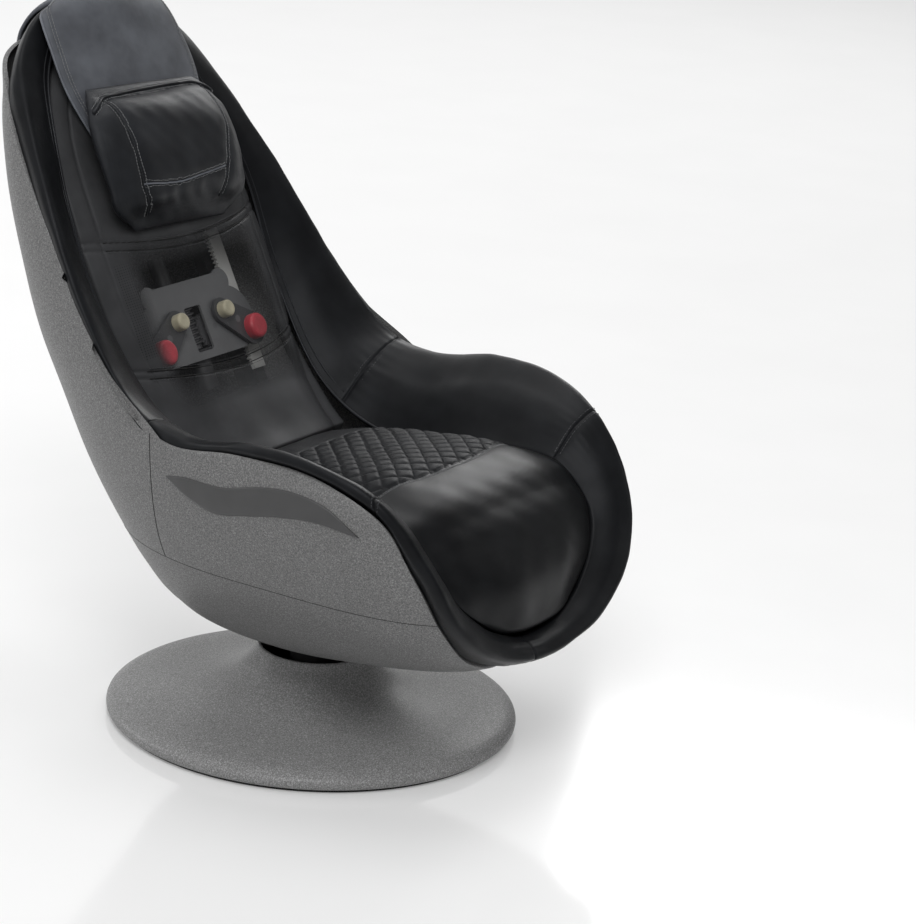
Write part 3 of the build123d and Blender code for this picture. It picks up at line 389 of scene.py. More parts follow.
class Material:
    """A node material with a few short ways to add nodes."""

    def __init__(self, name, color, roughness=0.5, metallic=0.0, **sockets):
        self.mat = bpy.data.materials.new(name)
        self.mat.use_nodes = True
        self.tree = self.mat.node_tree
        self.bsdf = self.tree.nodes["Principled BSDF"]
        self.set("Base Color", (*color, 1))
        self.set("Roughness", roughness)
        self.set("Metallic", metallic)
        for socket, value in sockets.items():
            self.set(socket.replace("_", " ").title().replace("Ior", "IOR"), value)
        self.place = self.add("ShaderNodeTexCoord").outputs["Object"]
        self.height = None

    def set(self, socket, value):
        self.bsdf.inputs[socket].default_value = value

    def add(self, kind, **settings):
        node = self.tree.nodes.new(kind)
        for key, value in settings.items():
            setattr(node, key, value)
        return node

    def link(self, out, into):
        self.tree.links.new(out, into)

    def stretched(self, x=1, y=1, z=1):
        node = self.add("ShaderNodeMapping")
        node.inputs["Scale"].default_value = (x, y, z)
        self.link(self.place, node.inputs["Vector"])
        return node.outputs["Vector"]

    def texture(self, node, vector, **inputs):
        for name, value in inputs.items():
            node.inputs[name].default_value = value
        self.link(vector or self.place, node.inputs["Vector"])

    def noise(self, scale, detail=3, rough=0.55, distort=0, vector=None):
        node = self.add("ShaderNodeTexNoise")
        self.texture(node, vector, Scale=scale, Detail=detail, Roughness=rough, Distortion=distort)
        return node.outputs["Fac"]

    def cells(self, scale):
        """Distance from the edges of a cell pattern."""
        node = self.add("ShaderNodeTexVoronoi", feature="DISTANCE_TO_EDGE")
        self.texture(node, None, Scale=scale)
        return node.outputs["Distance"]

    def waves(self, scale, axis="X", distort=0, vector=None):
        node = self.add("ShaderNodeTexWave", bands_direction=axis)
        self.texture(node, vector, Scale=scale, Distortion=distort)
        return node.outputs["Fac"]

    def ramp(self, value, *stops):
        node = self.add("ShaderNodeValToRGB")
        element = node.color_ramp.elements
        while len(element) < len(stops):
            element.new(0.5)
        for e, (at, color) in zip(element, stops):
            e.position = at
            e.color = (*color, 1) if len(color) == 3 else color
        self.link(value, node.inputs["Fac"])
        return node.outputs["Color"]

    def range(self, value, a, b, c, d):
        node = self.add("ShaderNodeMapRange")
        for name, v in zip(("From Min", "From Max", "To Min", "To Max"), (a, b, c, d)):
            node.inputs[name].default_value = v
        self.link(value, node.inputs["Value"])
        return node.outputs["Result"]

    def mix(self, fac, a, b, kind="MIX"):
        node = self.add("ShaderNodeMix", data_type="RGBA", blend_type=kind)
        for name, v in (("Factor", fac), ("A", a), ("B", b)):
            socket = [s for s in node.inputs if s.name == name and (s.type == "RGBA" or name == "Factor")][0]
            if isinstance(v, bpy.types.NodeSocket):
                self.link(v, socket)
            else:
                socket.default_value = (*v, 1) if isinstance(v, tuple) else v
        return [s for s in node.outputs if s.type == "RGBA"][0]

    def maths(self, operation, a, b=0.0, clamp=False):
        node = self.add("ShaderNodeMath", operation=operation, use_clamp=clamp)
        for socket, v in zip(node.inputs, (a, b)):
            if isinstance(v, bpy.types.NodeSocket):
                self.link(v, socket)
            else:
                socket.default_value = v
        return node.outputs[0]

    def color(self, out):
        self.link(out, self.bsdf.inputs["Base Color"])

    def rough(self, out):
        self.link(out, self.bsdf.inputs["Roughness"])

    def bump(self, height, strength, distance):
        node = self.add("ShaderNodeBump")
        node.inputs["Strength"].default_value = strength
        node.inputs["Distance"].default_value = distance
        self.link(height, node.inputs["Height"])
        if self.height:
            self.link(self.height, node.inputs["Normal"])
        self.height = node.outputs["Normal"]
        self.link(self.height, self.bsdf.inputs["Normal"])


def make_melange(name, dark=1.0):
    """Grey speckled coating: light and dark grains of a millimetre or two, with a faint lacquer."""
    coat = {"coat_weight": 0.16, "coat_roughness": 0.26}
    m = Material(name, (0.17, 0.17, 0.17), 0.5, specular_ior_level=0.3, **coat)
    grain = m.noise(420, 2, 0.75)
    fine = m.noise(1100, 1, 0.6)
    cloud = m.noise(11, 2, 0.5)
    stops = ((0.34, 0.055), (0.46, 0.115), (0.54, 0.175), (0.68, 0.36))
    base = m.ramp(grain, *((at, (v * dark,) * 3) for at, v in stops))
    other = m.ramp(fine, (0.36, (0.075 * dark,) * 3), (0.64, (0.30 * dark,) * 3))
    base = m.mix(0.42, base, other)
    base = m.mix(m.range(cloud, 0.3, 0.7, 0.0, 0.14), base, (0.10 * dark,) * 3)
    m.color(base)
    m.rough(m.range(grain, 0.3, 0.7, 0.60, 0.46))
    m.bump(grain, 0.25, 0.0005)
    return m.mat


def make_leather(name, tone=1.0, rough=0.40, grain=1.0, gloss=0.13):
    """Soft black leather: fine pebble grain, shallow creases and a tone that wanders a little."""
    m = Material(name, (0.010, 0.0105, 0.0115), rough)
    m.set("Specular Tint", (gloss, gloss * 1.02, gloss * 1.06, 1))
    cloud = m.noise(14, 3, 0.6)
    low = (0.0042 * tone, 0.0044 * tone, 0.0050 * tone)
    high = (0.0078 * tone, 0.0083 * tone, 0.0094 * tone)
    m.color(m.ramp(cloud, (0.3, low), (0.7, high)))
    pebble = m.cells(760)
    fine = m.noise(900, 3, 0.6)
    crease = m.noise(38, 4, 0.62, 0.6)
    m.rough(m.range(fine, 0.3, 0.7, rough - 0.05, rough + 0.08))
    m.bump(m.range(pebble, 0.0, 0.12, 0.0, 1.0), 0.14 * grain, 0.0003)
    m.bump(fine, 0.12 * grain, 0.0003)
    m.bump(crease, 0.09 * grain, 0.0022)
    return m.mat


def shaded(color, share, extra=0.0):
    return tuple(min(c * share + extra, 1) for c in color)


def make_plain(name, color, rough, fine, cloud, tones, wander, rise, **sockets):
    """One colour whose tone wanders between two values, with a fine grain."""
    m = Material(name, color, rough, **sockets)
    grain = m.noise(*fine)
    m.color(m.ramp(m.noise(*cloud), *tones))
    m.rough(m.range(grain, 0.3, 0.7, rough - wander[0], rough + wander[1]))
    m.bump(grain, *rise)
    return m.mat


def make_plastic(name, color, rough=0.45, speck=0.06):
    tones = ((0.35, shaded(color, 1 - speck)), (0.65, shaded(color, 1 + speck, 0.002)))
    fine, cloud, rise = (1300, 2, 0.6), (20, 2, 0.5), (0.10, 0.0002)
    return make_plain(name, color, rough, fine, cloud, tones, (0.05, 0.07), rise, specular_ior_level=0.45)


def make_metal(name, color, rough=0.35, brushed="Z"):
    stretch = {"X": (1, 40, 40), "Y": (40, 1, 40), "Z": (40, 40, 1)}[brushed]
    m = Material(name, color, rough, 1.0)
    streak = m.noise(30, 4, 0.7, 0, m.stretched(*stretch))
    cloud = m.noise(16, 2, 0.5)
    m.color(m.ramp(cloud, (0.3, shaded(color, 0.86)), (0.7, color)))
    m.rough(m.range(streak, 0.3, 0.7, rough - 0.08, rough + 0.12))
    m.bump(streak, 0.06, 0.0002)
    return m.mat


def make_coat(name, color, rough=0.5):
    """Powder coat with orange peel."""
    tones = ((0.3, shaded(color, 0.85)), (0.7, shaded(color, 1.1)))
    peel, cloud, rise = (420, 2, 0.5), (12, 3, 0.6), (0.12, 0.0003)
    return make_plain(name, color, rough, peel, cloud, tones, (0.06, 0.06), rise, specular_ior_level=0.5)


def make_rubber(name, color, rough=0.55):
    tones = ((0.3, shaded(color, 0.82)), (0.7, shaded(color, 1.12)))
    fine, cloud, rise = (700, 3, 0.6), (60, 2, 0.5), (0.12, 0.0003)
    sheen = {"sheen_weight": 0.15, "sheen_roughness": 0.5, "specular_ior_level": 0.4}
    return make_plain(name, color, rough, fine, cloud, tones, (0.05, 0.1), rise, **sheen)


def make_wood(name):
    m = Material(name, (0.5, 0.36, 0.22), 0.6)
    grain = m.waves(9, "Y", 5.0, m.stretched(1, 6, 1))
    fine = m.noise(60, 4, 0.7, 0, m.stretched(1, 30, 30))
    rings = m.ramp(grain, (0.2, (0.42, 0.27, 0.14)), (0.8, (0.62, 0.45, 0.28)))
    m.color(m.mix(m.range(fine, 0.3, 0.7, 0, 0.5), rings, (0.30, 0.19, 0.10)))
    m.bump(fine, 0.15, 0.0004)
    return m.mat


def make_thread(name, color):
    """Twisted sewing thread, with the grooves of its twist painted darker as painted shade, besides their
    bump.
    """
    m = Material(name, color, 0.6, sheen_weight=0.3, sheen_roughness=0.4)
    twist = m.waves(260, "DIAGONAL")
    # Painted shade: the grooves of the twist are darkened to 0.3 of the thread's colour.
    m.color(m.mix(m.range(twist, 0.2, 0.8, 0, 0.55), color, shaded(color, 0.3)))
    m.bump(twist, 0.5, 0.0003)
    return m.mat


melange = make_melange("grey_melange", 0.9)
# Lighter copy of the shell's melange for the foot, 1.42 against 0.9: painted light, for the light that falls
# on the foot.
foot_melange_painted_light = make_melange("grey_melange_painted_light_foot", 1.42)
leather = make_leather("black_leather")
leather_rim = make_leather("black_leather_rim", 1.2, 0.36, 0.9, 0.17)
leather_seat = make_leather("black_leather_seat", 0.8, 0.36, 1.0, 0.20)
leather_quilt = make_leather("quilted_leather", 1.5, 0.50, 1.2, 0.10)
leather_flap = make_leather("flap_leather", 13.5, 0.46, 1.3, 0.3)
leather_back = make_leather("back_leather", 3.0, 0.46, 1.1, 0.25)
leather_pillow = make_leather("pillow_leather", 2.6, 0.42, 1.1, 0.2)
thread_dark = make_thread("dark_thread", (0.035, 0.036, 0.04))
thread_light = make_thread("light_thread", (0.20, 0.205, 0.21))
edge_cord = make_leather("light_piping", 22.0, 0.40, 0.6, 0.4)
piping = make_leather("piping_leather", 2.4, 0.34, 0.6, 0.3)
black_gap = make_plastic("black_gap", (0.004, 0.004, 0.004), 0.7)
housing = make_plastic("housing_plastic", (0.022, 0.022, 0.024), 0.5)
plate_plastic = make_plastic("plate_plastic", (0.13, 0.132, 0.136), 0.42)
arm_coat = make_coat("arm_coat", (0.055, 0.056, 0.06), 0.45)
nylon = make_plastic("nylon", (0.62, 0.62, 0.60), 0.42)
acetal = make_plastic("acetal", (0.11, 0.11, 0.115), 0.42)
red_rubber = make_rubber("red_rubber", (0.46, 0.036, 0.055), 0.42)
beige_rubber = make_rubber("beige_rubber", (0.50, 0.46, 0.33), 0.5)
mat_rubber = make_rubber("mat_rubber", (0.012, 0.012, 0.012), 0.8)
steel_coat = make_coat("steel_coat", (0.03, 0.03, 0.032), 0.48)
zinc = make_metal("zinc", (0.62, 0.62, 0.60), 0.32)
bronze = make_metal("bronze", (0.55, 0.38, 0.20), 0.38)
ground_steel = make_metal("ground_steel", (0.16, 0.16, 0.165), 0.50)
plywood = make_wood("plywood")
trim_plate = make_plastic("trim_plate", (0.045, 0.045, 0.046), 0.40)

by_slot = {
    "mat": mat_rubber,
    "steel": steel_coat,
    "bright": zinc,
    "grey_fabric": melange,
    "bronze": bronze,
    "nylon": nylon,
    "gear": acetal,
    "worm_steel": ground_steel,
    "board": plywood,
    "housing": housing,
    "foam": leather_back,
    "black_leather": leather,
    "stretch_cover": leather_back,
    "plate": plate_plastic,
    "arm": arm_coat,
    "red_head": red_rubber,
    "beige_head": beige_rubber,
}
for part in frame["record"]["subparts"]:
    obj = nodes[part["node"]]
    obj.data.materials.clear()
    obj.data.materials.append(by_slot[part["material_slot"]])


# Grey shell

def fan_angle(t):
    """Where a column of the shell ends up at the bottom."""
    degrees = [90, 74, 60, 47, 35, 23, 11, 0, -13, -27, -41, -54, -66, -78, -90]
    return math.radians(float(np.interp(abs(t), range(len(degrees)), degrees)))


def shell_column(t, rows):
    edge = curve_point(SHELL_EDGE, abs(t))
    start = shell_angle(edge)
    share = np.linspace(0, 1, rows)
    z = edge[2] + (126 - edge[2]) * share
    turn = start + (fan_angle(t) - start) * smoothstep(0, 1, share * 0.93 + 0.07 * share**0.5) ** 0.8
    column = shell_point(turn, z)
    if t < 0:
        column[:, 0] *= -1
    return column


def shell_skin():
    side = np.concatenate([np.arange(0, 2, 1 / 22), np.arange(2, 10, 0.1), np.arange(10, 14, 1 / 14)])
    places = np.concatenate([side, [14], -side[::-1][:-1]])
    columns = np.array([shell_column(t if t != 0 else 0.0001, SHELL_ROWS) for t in places])
    grid = columns.transpose(1, 0, 2)
    along = np.roll(grid, -1, 1) - np.roll(grid, 1, 1)
    down = np.gradient(grid, axis=0)
    normal = np.cross(along, down)
    normal /= np.linalg.norm(normal, axis=2)[:, :, None] + 1e-9
    if (normal[30] * (grid[30] - grid[30].mean(0))).sum() < 0:
        normal = -normal
    edge = grid[0]
    rise = edge - grid[1]
    rise /= np.linalg.norm(rise, axis=1)[:, None]
    lip = [edge - normal[0] * deep + rise * up for deep, up in SHELL_LIP]
    centre = np.array([0.0, 0.0, 126.0])
    low = [grid[-1] + (centre - grid[-1]) * k for k in (0.06, 0.14)]
    rim = grid[-1] - centre
    rim = centre + rim / np.linalg.norm(rim, axis=1)[:, None] * 47
    full = np.concatenate([np.array(lip), grid, np.array(low), rim[None]])
    return grid_object("shell_skin", full, melange, wrap_cols=True, flip=True)


def on_shell(y, z, lift=0.0, side=-1):
    """Point on the side of the shell, lifted off it."""
    x = shell_x(y, z)
    e = 2.0
    dy = (shell_x(y + e, z) - shell_x(y - e, z)) / (2 * e)
    dz = (shell_x(y, z + e) - shell_x(y, z - e)) / (2 * e)
    n = np.array([1, -dy, -dz])
    n /= np.linalg.norm(n)
    p = np.array([x, y, z]) + n * lift
    p[0] *= side
    return p


def shell_seams():
    lines = []
    for side in (1, -1):
        heights = np.linspace(531, BELLY_SEAM_Z, 60)
        path = [on_shell(86 + 9 * smoothstep(520, 330, z), z, -0.35, side) for z in heights]
        lines.append(tube(f"side_seam_{side}", path, 0.95, black_gap, 6))
    front = next(t for t in np.arange(10.5, 12, 0.01) if curve_point(SHELL_EDGE, t)[2] < BELLY_SEAM_Z)
    start = shell_angle(curve_point(SHELL_EDGE, front))
    turn = np.linspace(start, math.pi - start, 240)
    path = shell_point(turn, np.full(turn.shape, float(BELLY_SEAM_Z)))
    middle = np.array([0, -50, BELLY_SEAM_Z])
    inward = (middle - path) / np.linalg.norm(middle - path, axis=1)[:, None]
    lines.append(tube("belly_seam", path + inward * 0.45, 0.8, black_gap, 6))
    return join("shell_seams", lines)


def trim_wave():
    """Bare wave-shaped plate let into the sitter's right side of the shell."""
    upper, lower = (spline_through([(0, *p) for p in edge], 70) for edge in (WAVE_UPPER, WAVE_LOWER))
    rows = []
    far_half = [(0.6, 2.2), (0.75, 2.2), (0.9, 2.2), (0.97, 2.0), (1, 1.2), (1, -0.6)]
    for k, lift in WAVE_SECTION + far_half:
        line = upper + (lower - upper) * k
        rows.append([on_shell(p[1], p[2], lift) for p in line])
    return grid_object("trim_wave", np.array(rows), trim_plate, flip=True)


skin = shell_skin()
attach(skin, "chair")
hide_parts("belly_pan", "rear_shell", "side_shell_left", "side_shell_right")
for trim in (shell_seams(), trim_wave()):
    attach(trim, "chair")


# Foot

def foot_skin():
    fine = spline_through([(r, 0, z) for r, z in FOOT_OUTSIDE], 90)
    under = [(314, 0, 5.2), (319, 0, 5.0)]
    neck = [(90.5, 0, 121), (88, 0, 120.5), (88, 0, 112)]
    profile = np.concatenate([under, fine, neck])
    angle = np.linspace(0, 2 * math.pi, 220, endpoint=False)
    radius, height = profile[:, None, 0], profile[:, None, 2]
    height = np.broadcast_to(height, (len(profile), len(angle)))
    grid = np.stack([radius * np.cos(angle), radius * np.sin(angle), height], axis=-1)
    # The foot takes the lighter copy of the melange: painted light.
    return grid_object("foot_skin", grid, foot_melange_painted_light, wrap_cols=True, flip=True)


foot = foot_skin()
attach(foot, "base")
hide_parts("foot_cover")


# Black rim padding

def rim_profile(t, tuck=14):
    """Section of the rim from inside the shell edge over the ridge to the crease, with arc lengths."""
    ridge = curve_point(RIM_RIDGE, t)
    edge = curve_point(SHELL_EDGE, t)
    crease = curve_point(RIM_CREASE, t)
    inwards = (edge - ridge) / np.linalg.norm(edge - ridge)
    across = crease - ridge
    sideways = across - inwards * across.dot(inwards)
    sideways /= np.linalg.norm(sideways)
    cheek = edge + (ridge - edge) * 0.55 - sideways * RIM_CHEEK
    shoulder = ridge + across * RIM_SHOULDER - inwards * np.linalg.norm(across) * RIM_BULGE
    deep = crease + inwards * tuck
    body = spline_through([edge + sideways * RIM_INSIDE, cheek, ridge, shoulder, crease], 44)
    lower = [edge + sideways * (RIM_INSIDE + d) + inwards * down for d, down in ((6, 4), (1.5, 3))]
    return np.concatenate([lower, body, [crease + inwards * tuck * 0.4], [deep]])


def groove_places(marks, start, stop, step, spread=(0.008, 0.02, 0.04, 0.07, 0.11)):
    places = list(np.arange(start, stop, step))
    for m in marks:
        places = [p for p in places if abs(p - m) > 0.13]
        places += [m] + [m + d for d in spread] + [m - d for d in spread]
    return np.array(sorted(p for p in places if start <= p <= stop))


def grid_normals(grid, wrap_rows=False):
    along = (np.roll(grid, -1, 0) - np.roll(grid, 1, 0)) if wrap_rows else np.gradient(grid, axis=0)
    across = np.gradient(grid, axis=1)
    normal = np.cross(along, across)
    return normal / (np.linalg.norm(normal, axis=2)[:, :, None] + 1e-9)


def rim_skin():
    marks = [-FRONT_SEAM_AT, -BACK_SEAM_AT, BACK_SEAM_AT, FRONT_SEAM_AT, -13.6]
    places = groove_places(marks, -14, 14, 0.08)[:-1]
    grid = np.array([rim_profile(t) for t in places])
    normal = grid_normals(grid, wrap_rows=True)
    if normal[len(places) // 2, 18][2] < 0:
        normal = -normal
    unit = 100.0
    depth = sum(bump((places - m) * unit, 1.2) * 1.8 + bump((places - m) * unit, 7) * 0.5 for m in marks)
    share = np.linspace(0, 1, grid.shape[1])
    inside = smoothstep(0, 0.06, share) * (1 - smoothstep(0.95, 1, share))
    pull = wave_noise(grid, 90, 3) * 0.9 + wave_noise(grid, 34, 5) * 0.35
    near_seam = sum(bump((places - m) * unit, 26) for m in marks)
    pucker = np.sin(share * 70)[None] * 0.35 * near_seam[:, None]
    grid = grid - normal * ((depth[:, None] - pull - pucker) * inside[None])[:, :, None]
    return grid_object("rim_skin", grid, leather_rim, wrap_rows=True, flip=False)


def rim_line(share, start, stop, count, lift=0.0):
    """A line on the rim at a share of the way from the shell edge to the crease."""
    path = []
    for t in np.linspace(start, stop, count):
        profile = rim_profile(t)[2:-2]
        i = share * (len(profile) - 1)
        k = min(int(i), len(profile) - 2)
        p = profile[k] + (profile[k + 1] - profile[k]) * (i - k)
        d = profile[min(k + 2, len(profile) - 1)] - profile[max(k - 1, 0)]
        along = curve_point(RIM_RIDGE, t + 0.05) - curve_point(RIM_RIDGE, t - 0.05)
        n = np.cross(along, d)
        n /= np.linalg.norm(n)
        if n[2] < 0 and abs(t) < 10:
            n = -n
        path.append(p + n * lift)
    return np.array(path)


rim = rim_skin()
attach(rim, "chair")
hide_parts("rim_back", "arm_roll_left", "arm_roll_right", "front_apron")
welt = tube("rim_welt", rim_line(0.985, -7.1, 7.1, 420, 0.6), 2.3, piping, 8)
welt_inner = tube("rim_welt_inner", rim_line(0.90, -6.35, 6.35, 400, 0.25), 1.1, piping, 6)
welt = join("rim_welt", [welt, welt_inner])
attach(welt, "chair")


def rim_stitches():
    parts = []
    for m in (-FRONT_SEAM_AT, -BACK_SEAM_AT, BACK_SEAM_AT, FRONT_SEAM_AT):
        for way in (-1, 1):
            near = np.array([rim_profile(m + way * d) for d in (0.03, 0.05, 0.07)])
            normal = grid_normals(near)[1][6:-4]
            line = near[1][6:-4]
            if (normal[14] * (line[14] - line.mean(0))).sum() < 0:
                normal = -normal
            parts.append(stitches("rim_stitch", line + normal * -0.6, normal, 3.8, 1.6, 0.5, thread_dark))
    return join("rim_stitches", parts)


# Seat cushion

QUILT_FRONT_SIDE = -206
QUILT_FRONT_BOW = 32
QUILT_REAR = -2
QUILT_PITCH = 40


def seat_top(u, v):
    """Middle line and crown of the cushion: u across from -1 to 1, v along from the back."""
    half, y, z, inner_y, inner_z, crown = np.moveaxis(along_rows(numbered(SEAT_STATIONS), v), -1, 0)[1:]
    inwards = np.stack([np.zeros_like(y), inner_y - y, inner_z - z], axis=-1)
    out = -inwards / np.linalg.norm(inwards, axis=-1)[..., None]
    rise = crown * (1 - np.abs(u) ** 3.4)
    p = np.stack([half * u, y, z], axis=-1)
    return p + out * rise[..., None], out


def seat_pad():
    """Closed coarse shape of the filled cushion, a little smaller than the cushion itself."""
    v = np.linspace(0.1, 9.75, 64)
    u = np.linspace(-1, 1, 44) * 0.98
    vv, uu = np.meshgrid(v, u, indexing="ij")
    top, out = seat_top(uu, vv)
    top = top - out * 5
    half, _, _, inner_y, inner_z, _ = np.moveaxis(along_rows(numbered(SEAT_STATIONS), vv), -1, 0)[1:]
    low = np.stack([half * uu * 0.96, inner_y, inner_z], axis=-1)
    return np.concatenate([top, low[:, ::-1]], axis=1)


def with_sides(left, grid, right):
    """The grid with more columns at both sides."""
    return np.concatenate([np.array(left), grid.transpose(1, 0, 2), np.array(right)]).transpose(1, 0, 2)


def spread(values, rows, cols, all_rows, all_cols):
    """Fills a coarse grid of values in to a fine one."""
    across = np.array([np.interp(all_cols, cols, line) for line in values])
    return np.array([np.interp(all_rows, rows, line) for line in across.T]).T


def quilt_front(x):
    return QUILT_FRONT_SIDE - QUILT_FRONT_BOW * (1 - np.clip(np.abs(x) / 200, 0, 1) ** 2)


def seat_skin():
    v = np.interp(np.linspace(0, 1, 300), [0, 0.62, 1], [0.0, 5.6, 9.85])
    low_edge = -1 + 0.05 * np.linspace(0, 1, 12)[:-1] ** 1.3
    high_edge = 1 - 0.05 * np.linspace(1, 0, 12)[1:] ** 1.3
    u = np.concatenate([low_edge, np.linspace(-0.95, 0.95, 210), high_edge])
    vv, uu = np.meshgrid(v, u, indexing="ij")
    grid, out = seat_top(uu, vv)
    x = grid[..., 0]
    y = grid[..., 1]
    front = quilt_front(x)
    inside = smoothstep(front - 2, front + 5, y) * (1 - smoothstep(QUILT_REAR - 5, QUILT_REAR + 2, y))
    a = (x + (y - QUILT_REAR) * 1.15) / QUILT_PITCH
    b = (x - (y - QUILT_REAR) * 1.15) / QUILT_PITCH
    da = np.abs(a - np.round(a)) * QUILT_PITCH * 0.66
    db = np.abs(b - np.round(b)) * QUILT_PITCH * 0.66
    near = np.minimum(da, db)
    puff = 1 - np.exp(-near / 5.5)
    quilt = (3.0 * puff - 1.6 * bump(near, 1.2)) * inside
    seam_front = bump(y - front, 1.6) * 2.4 + bump(y - front, 8) * 1.2
    seam_rear = bump(y - QUILT_REAR, 1.6) * 1.8
    soft = wave_noise(grid, 120, 8) * 1.6 + wave_noise(grid, 46, 9) * 0.5
    edge = smoothstep(0, 0.06, 1 - np.abs(uu))
    pad = seat_pad()
    step = 3
    tree = inflated("seat_cloth", pad, CLOTH_VOXEL, CLOTH_CAP)
    rise = swell(tree, grid[::step, ::step], out[::step, ::step], -4, 8, 30)
    rise = spread(rise, v[::step], u[::step], v, u)
    fade = smoothstep(0.2, 1.2, vv) * smoothstep(9.8, 8.6, vv)
    soft = soft + rise * smoothstep(0, 0.25, 1 - np.abs(uu)) * fade
    grid = grid + out * ((quilt - seam_front - seam_rear + soft * edge)[..., None])
    roll = np.array([(1.2, 4), (2.2, 10), (2.0, 20), (-1.0, 34)])
    left = [grid[:, 0] + np.array([-dx, 0, 0]) - out[:, 0] * d for dx, d in roll]
    right = [grid[:, -1] + np.array([dx, 0, 0]) - out[:, -1] * d for dx, d in roll]
    full = with_sides(left[::-1], grid, right)
    down = out[-1, out.shape[1] // 2]
    tip = full[-1]
    ends = [tip - down * d + np.array([0, f, -d * 0.1]) for d, f in ((4, 0.5), (10, 1.5), (22, 6))]
    back = full[0]
    rear = [back - out[0, 100] * d + np.array([0, f, 0]) for d, f in ((40, 4), (16, 4), (5, 1.5))]
    full = np.concatenate([np.array(rear), full, np.array(ends)])
    return grid_object("seat_skin", full, leather_seat, flip=True)


def paint_faces(obj, material, test):
    """Gives the faces whose centre passes the test a second material."""
    index = len(obj.data.materials)
    obj.data.materials.append(material)
    count = len(obj.data.polygons)
    centre = np.zeros(count * 3)
    obj.data.polygons.foreach_get("center", centre)
    centre = centre.reshape(-1, 3) / MM
    chosen = test(centre)
    current = np.zeros(count, int)
    obj.data.polygons.foreach_get("material_index", current)
    current[chosen] = index
    obj.data.polygons.foreach_set("material_index", current)


def stitches(name, path, normal, length, gap, radius, material, lift=0.3):
    """Separate stitches along a path, each a short thread that dips at its ends."""
    p = np.asarray(path, float)
    chord = np.concatenate([[0], np.cumsum(np.linalg.norm(np.diff(p, axis=0), axis=1))])
    normal = np.broadcast_to(np.asarray(normal, float), p.shape)
    verts = []
    faces = []
    at = gap / 2
    while at + length < chord[-1]:
        s = np.linspace(at, at + length, 6)
        line = np.stack([np.interp(s, chord, p[:, k]) for k in range(3)], axis=1)
        n = np.stack([np.interp(s, chord, normal[:, k]) for k in range(3)], axis=1)
        n /= np.linalg.norm(n, axis=1)[:, None]
        arc = np.sin(np.linspace(0, math.pi, 6)) * (lift + radius) - radius * 0.5
        grid = tube_grid(line + n * arc[:, None], radius, 5)
        base = len(verts)
        flat = grid.reshape(-1, 3)
        verts.extend(flat)
        faces.extend([tuple(base + i for i in f) for f in grid_faces(6, 5, wrap_cols=True)])
        at += length + gap
    return mesh_object(name, np.array(verts), faces, material)


seat = seat_skin()
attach(seat, "chair")
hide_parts("seat_cushion")
QUILT_LOWEST = 440
QUILT_WIDEST = 218


def on_quilt(centre):
    x, y, z = centre.T
    return (y > quilt_front(x)) & (z > QUILT_LOWEST) & (np.abs(x) < QUILT_WIDEST)


paint_faces(seat, leather_quilt, on_quilt)


def seat_stitches(tree):
    parts = []
    x = np.linspace(-196, 196, 120)
    for shift in (-7, -3.2):
        places = np.stack([x, quilt_front(x) + shift, np.full(x.shape, 470.0)], axis=1)
        path, normals = laid(tree, places, (0, 0, 1))
        parts.append(stitches("seat_stitch", path, normals, 3.8, 1.6, 0.5, thread_light))
    return join("seat_stitches", parts)


def surface_tree(obj):
    mesh = obj.data
    return BVHTree.FromPolygons([v.co[:] for v in mesh.vertices], [tuple(p.vertices) for p in mesh.polygons])


def laid(tree, places, toward, reach=160, lift=0.0):
    """Drops places on to a surface against a direction; gives the path and its normals."""
    path, normals = [], []
    n = Vector(toward).normalized()
    for p in np.asarray(places, float):
        hit = tree.ray_cast(Vector(p) * MM + n * reach * MM, -n, 2 * reach * MM)
        if hit[0] is None:
            continue
        up = hit[1] if hit[1].dot(n) > 0 else -hit[1]
        path.append(np.array(hit[0]) / MM + np.array(up) * lift)
        normals.append(np.array(up))
    return np.array(path), np.array(normals)


for threads in (rim_stitches(), seat_stitches(surface_tree(seat))):
    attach(threads, "chair")


# Back cover

SHEER_CLEAR = 0.84
PIN_PITCH = 0.0042  # metres, as the material sees it
COVER_REACH = [
    (-190, 25), (-160, 23), (-124, 20), (-92, 15), (-60, 7), (-20, -3), (60, -4), (534, -4),
]

# Height of a seam at its ends and in the middle, half width, and the way its stitches lie beside it
BACK_SEAMS = [(-25, -50, 190, -4), (-13, -38, 190, 4), (187, 160, 205, -4), (200, 173, 205, 4)]


def sag(x, ends, middle, width):
    return middle + (ends - middle) * (np.asarray(x) / width) ** 2


def back_skin():
    s = np.linspace(-190, 534, 300)
    u = np.linspace(-1, 1, 190)
    ss, uu = np.meshgrid(s, u, indexing="ij")
    _, half, edge = along_rows(COVER_STATIONS, ss).transpose(2, 0, 1)
    reach = half + along_rows(COVER_REACH, ss)[..., 1]
    x = uu * reach
    n = cover_height(x, ss)
    grooves = []
    for high, low, width, _ in BACK_SEAMS:
        d = ss - sag(x, high, low, width)
        grooves.append(bump(d, 1.5) * 2.4 + bump(d, 7) * 1.3)
    side = np.abs(x) - (reach - 28)
    seam = bump(side, 1.4) * 2.0 + bump(side, 7) * 1.0
    flat = np.stack([x, ss, n * 0], axis=-1)
    soft = wave_noise(flat, 110, 12) * 1.4 + wave_noise(flat, 40, 13) * 0.4
    n = n - sum(grooves) - seam * smoothstep(-60, -30, ss) + soft * smoothstep(1, 0.9, np.abs(uu))
    grid = massage(x, ss, n)
    edge_rows = [massage(x[:, 0] - 1.5, s, n[:, 0] - d) for d in (28, 12, 4)]
    other = [massage(x[:, -1] + 1.5, s, n[:, -1] - d) for d in (4, 12, 28)]
    full = with_sides(edge_rows, grid, other)
    tuck = [full[0] + np.array(d) for d in ((0, 7, -26), (0, 2.5, -12), (0, 0.3, -5), (0, -0.9, -1.6))]
    return np.concatenate([np.array(tuck), full])


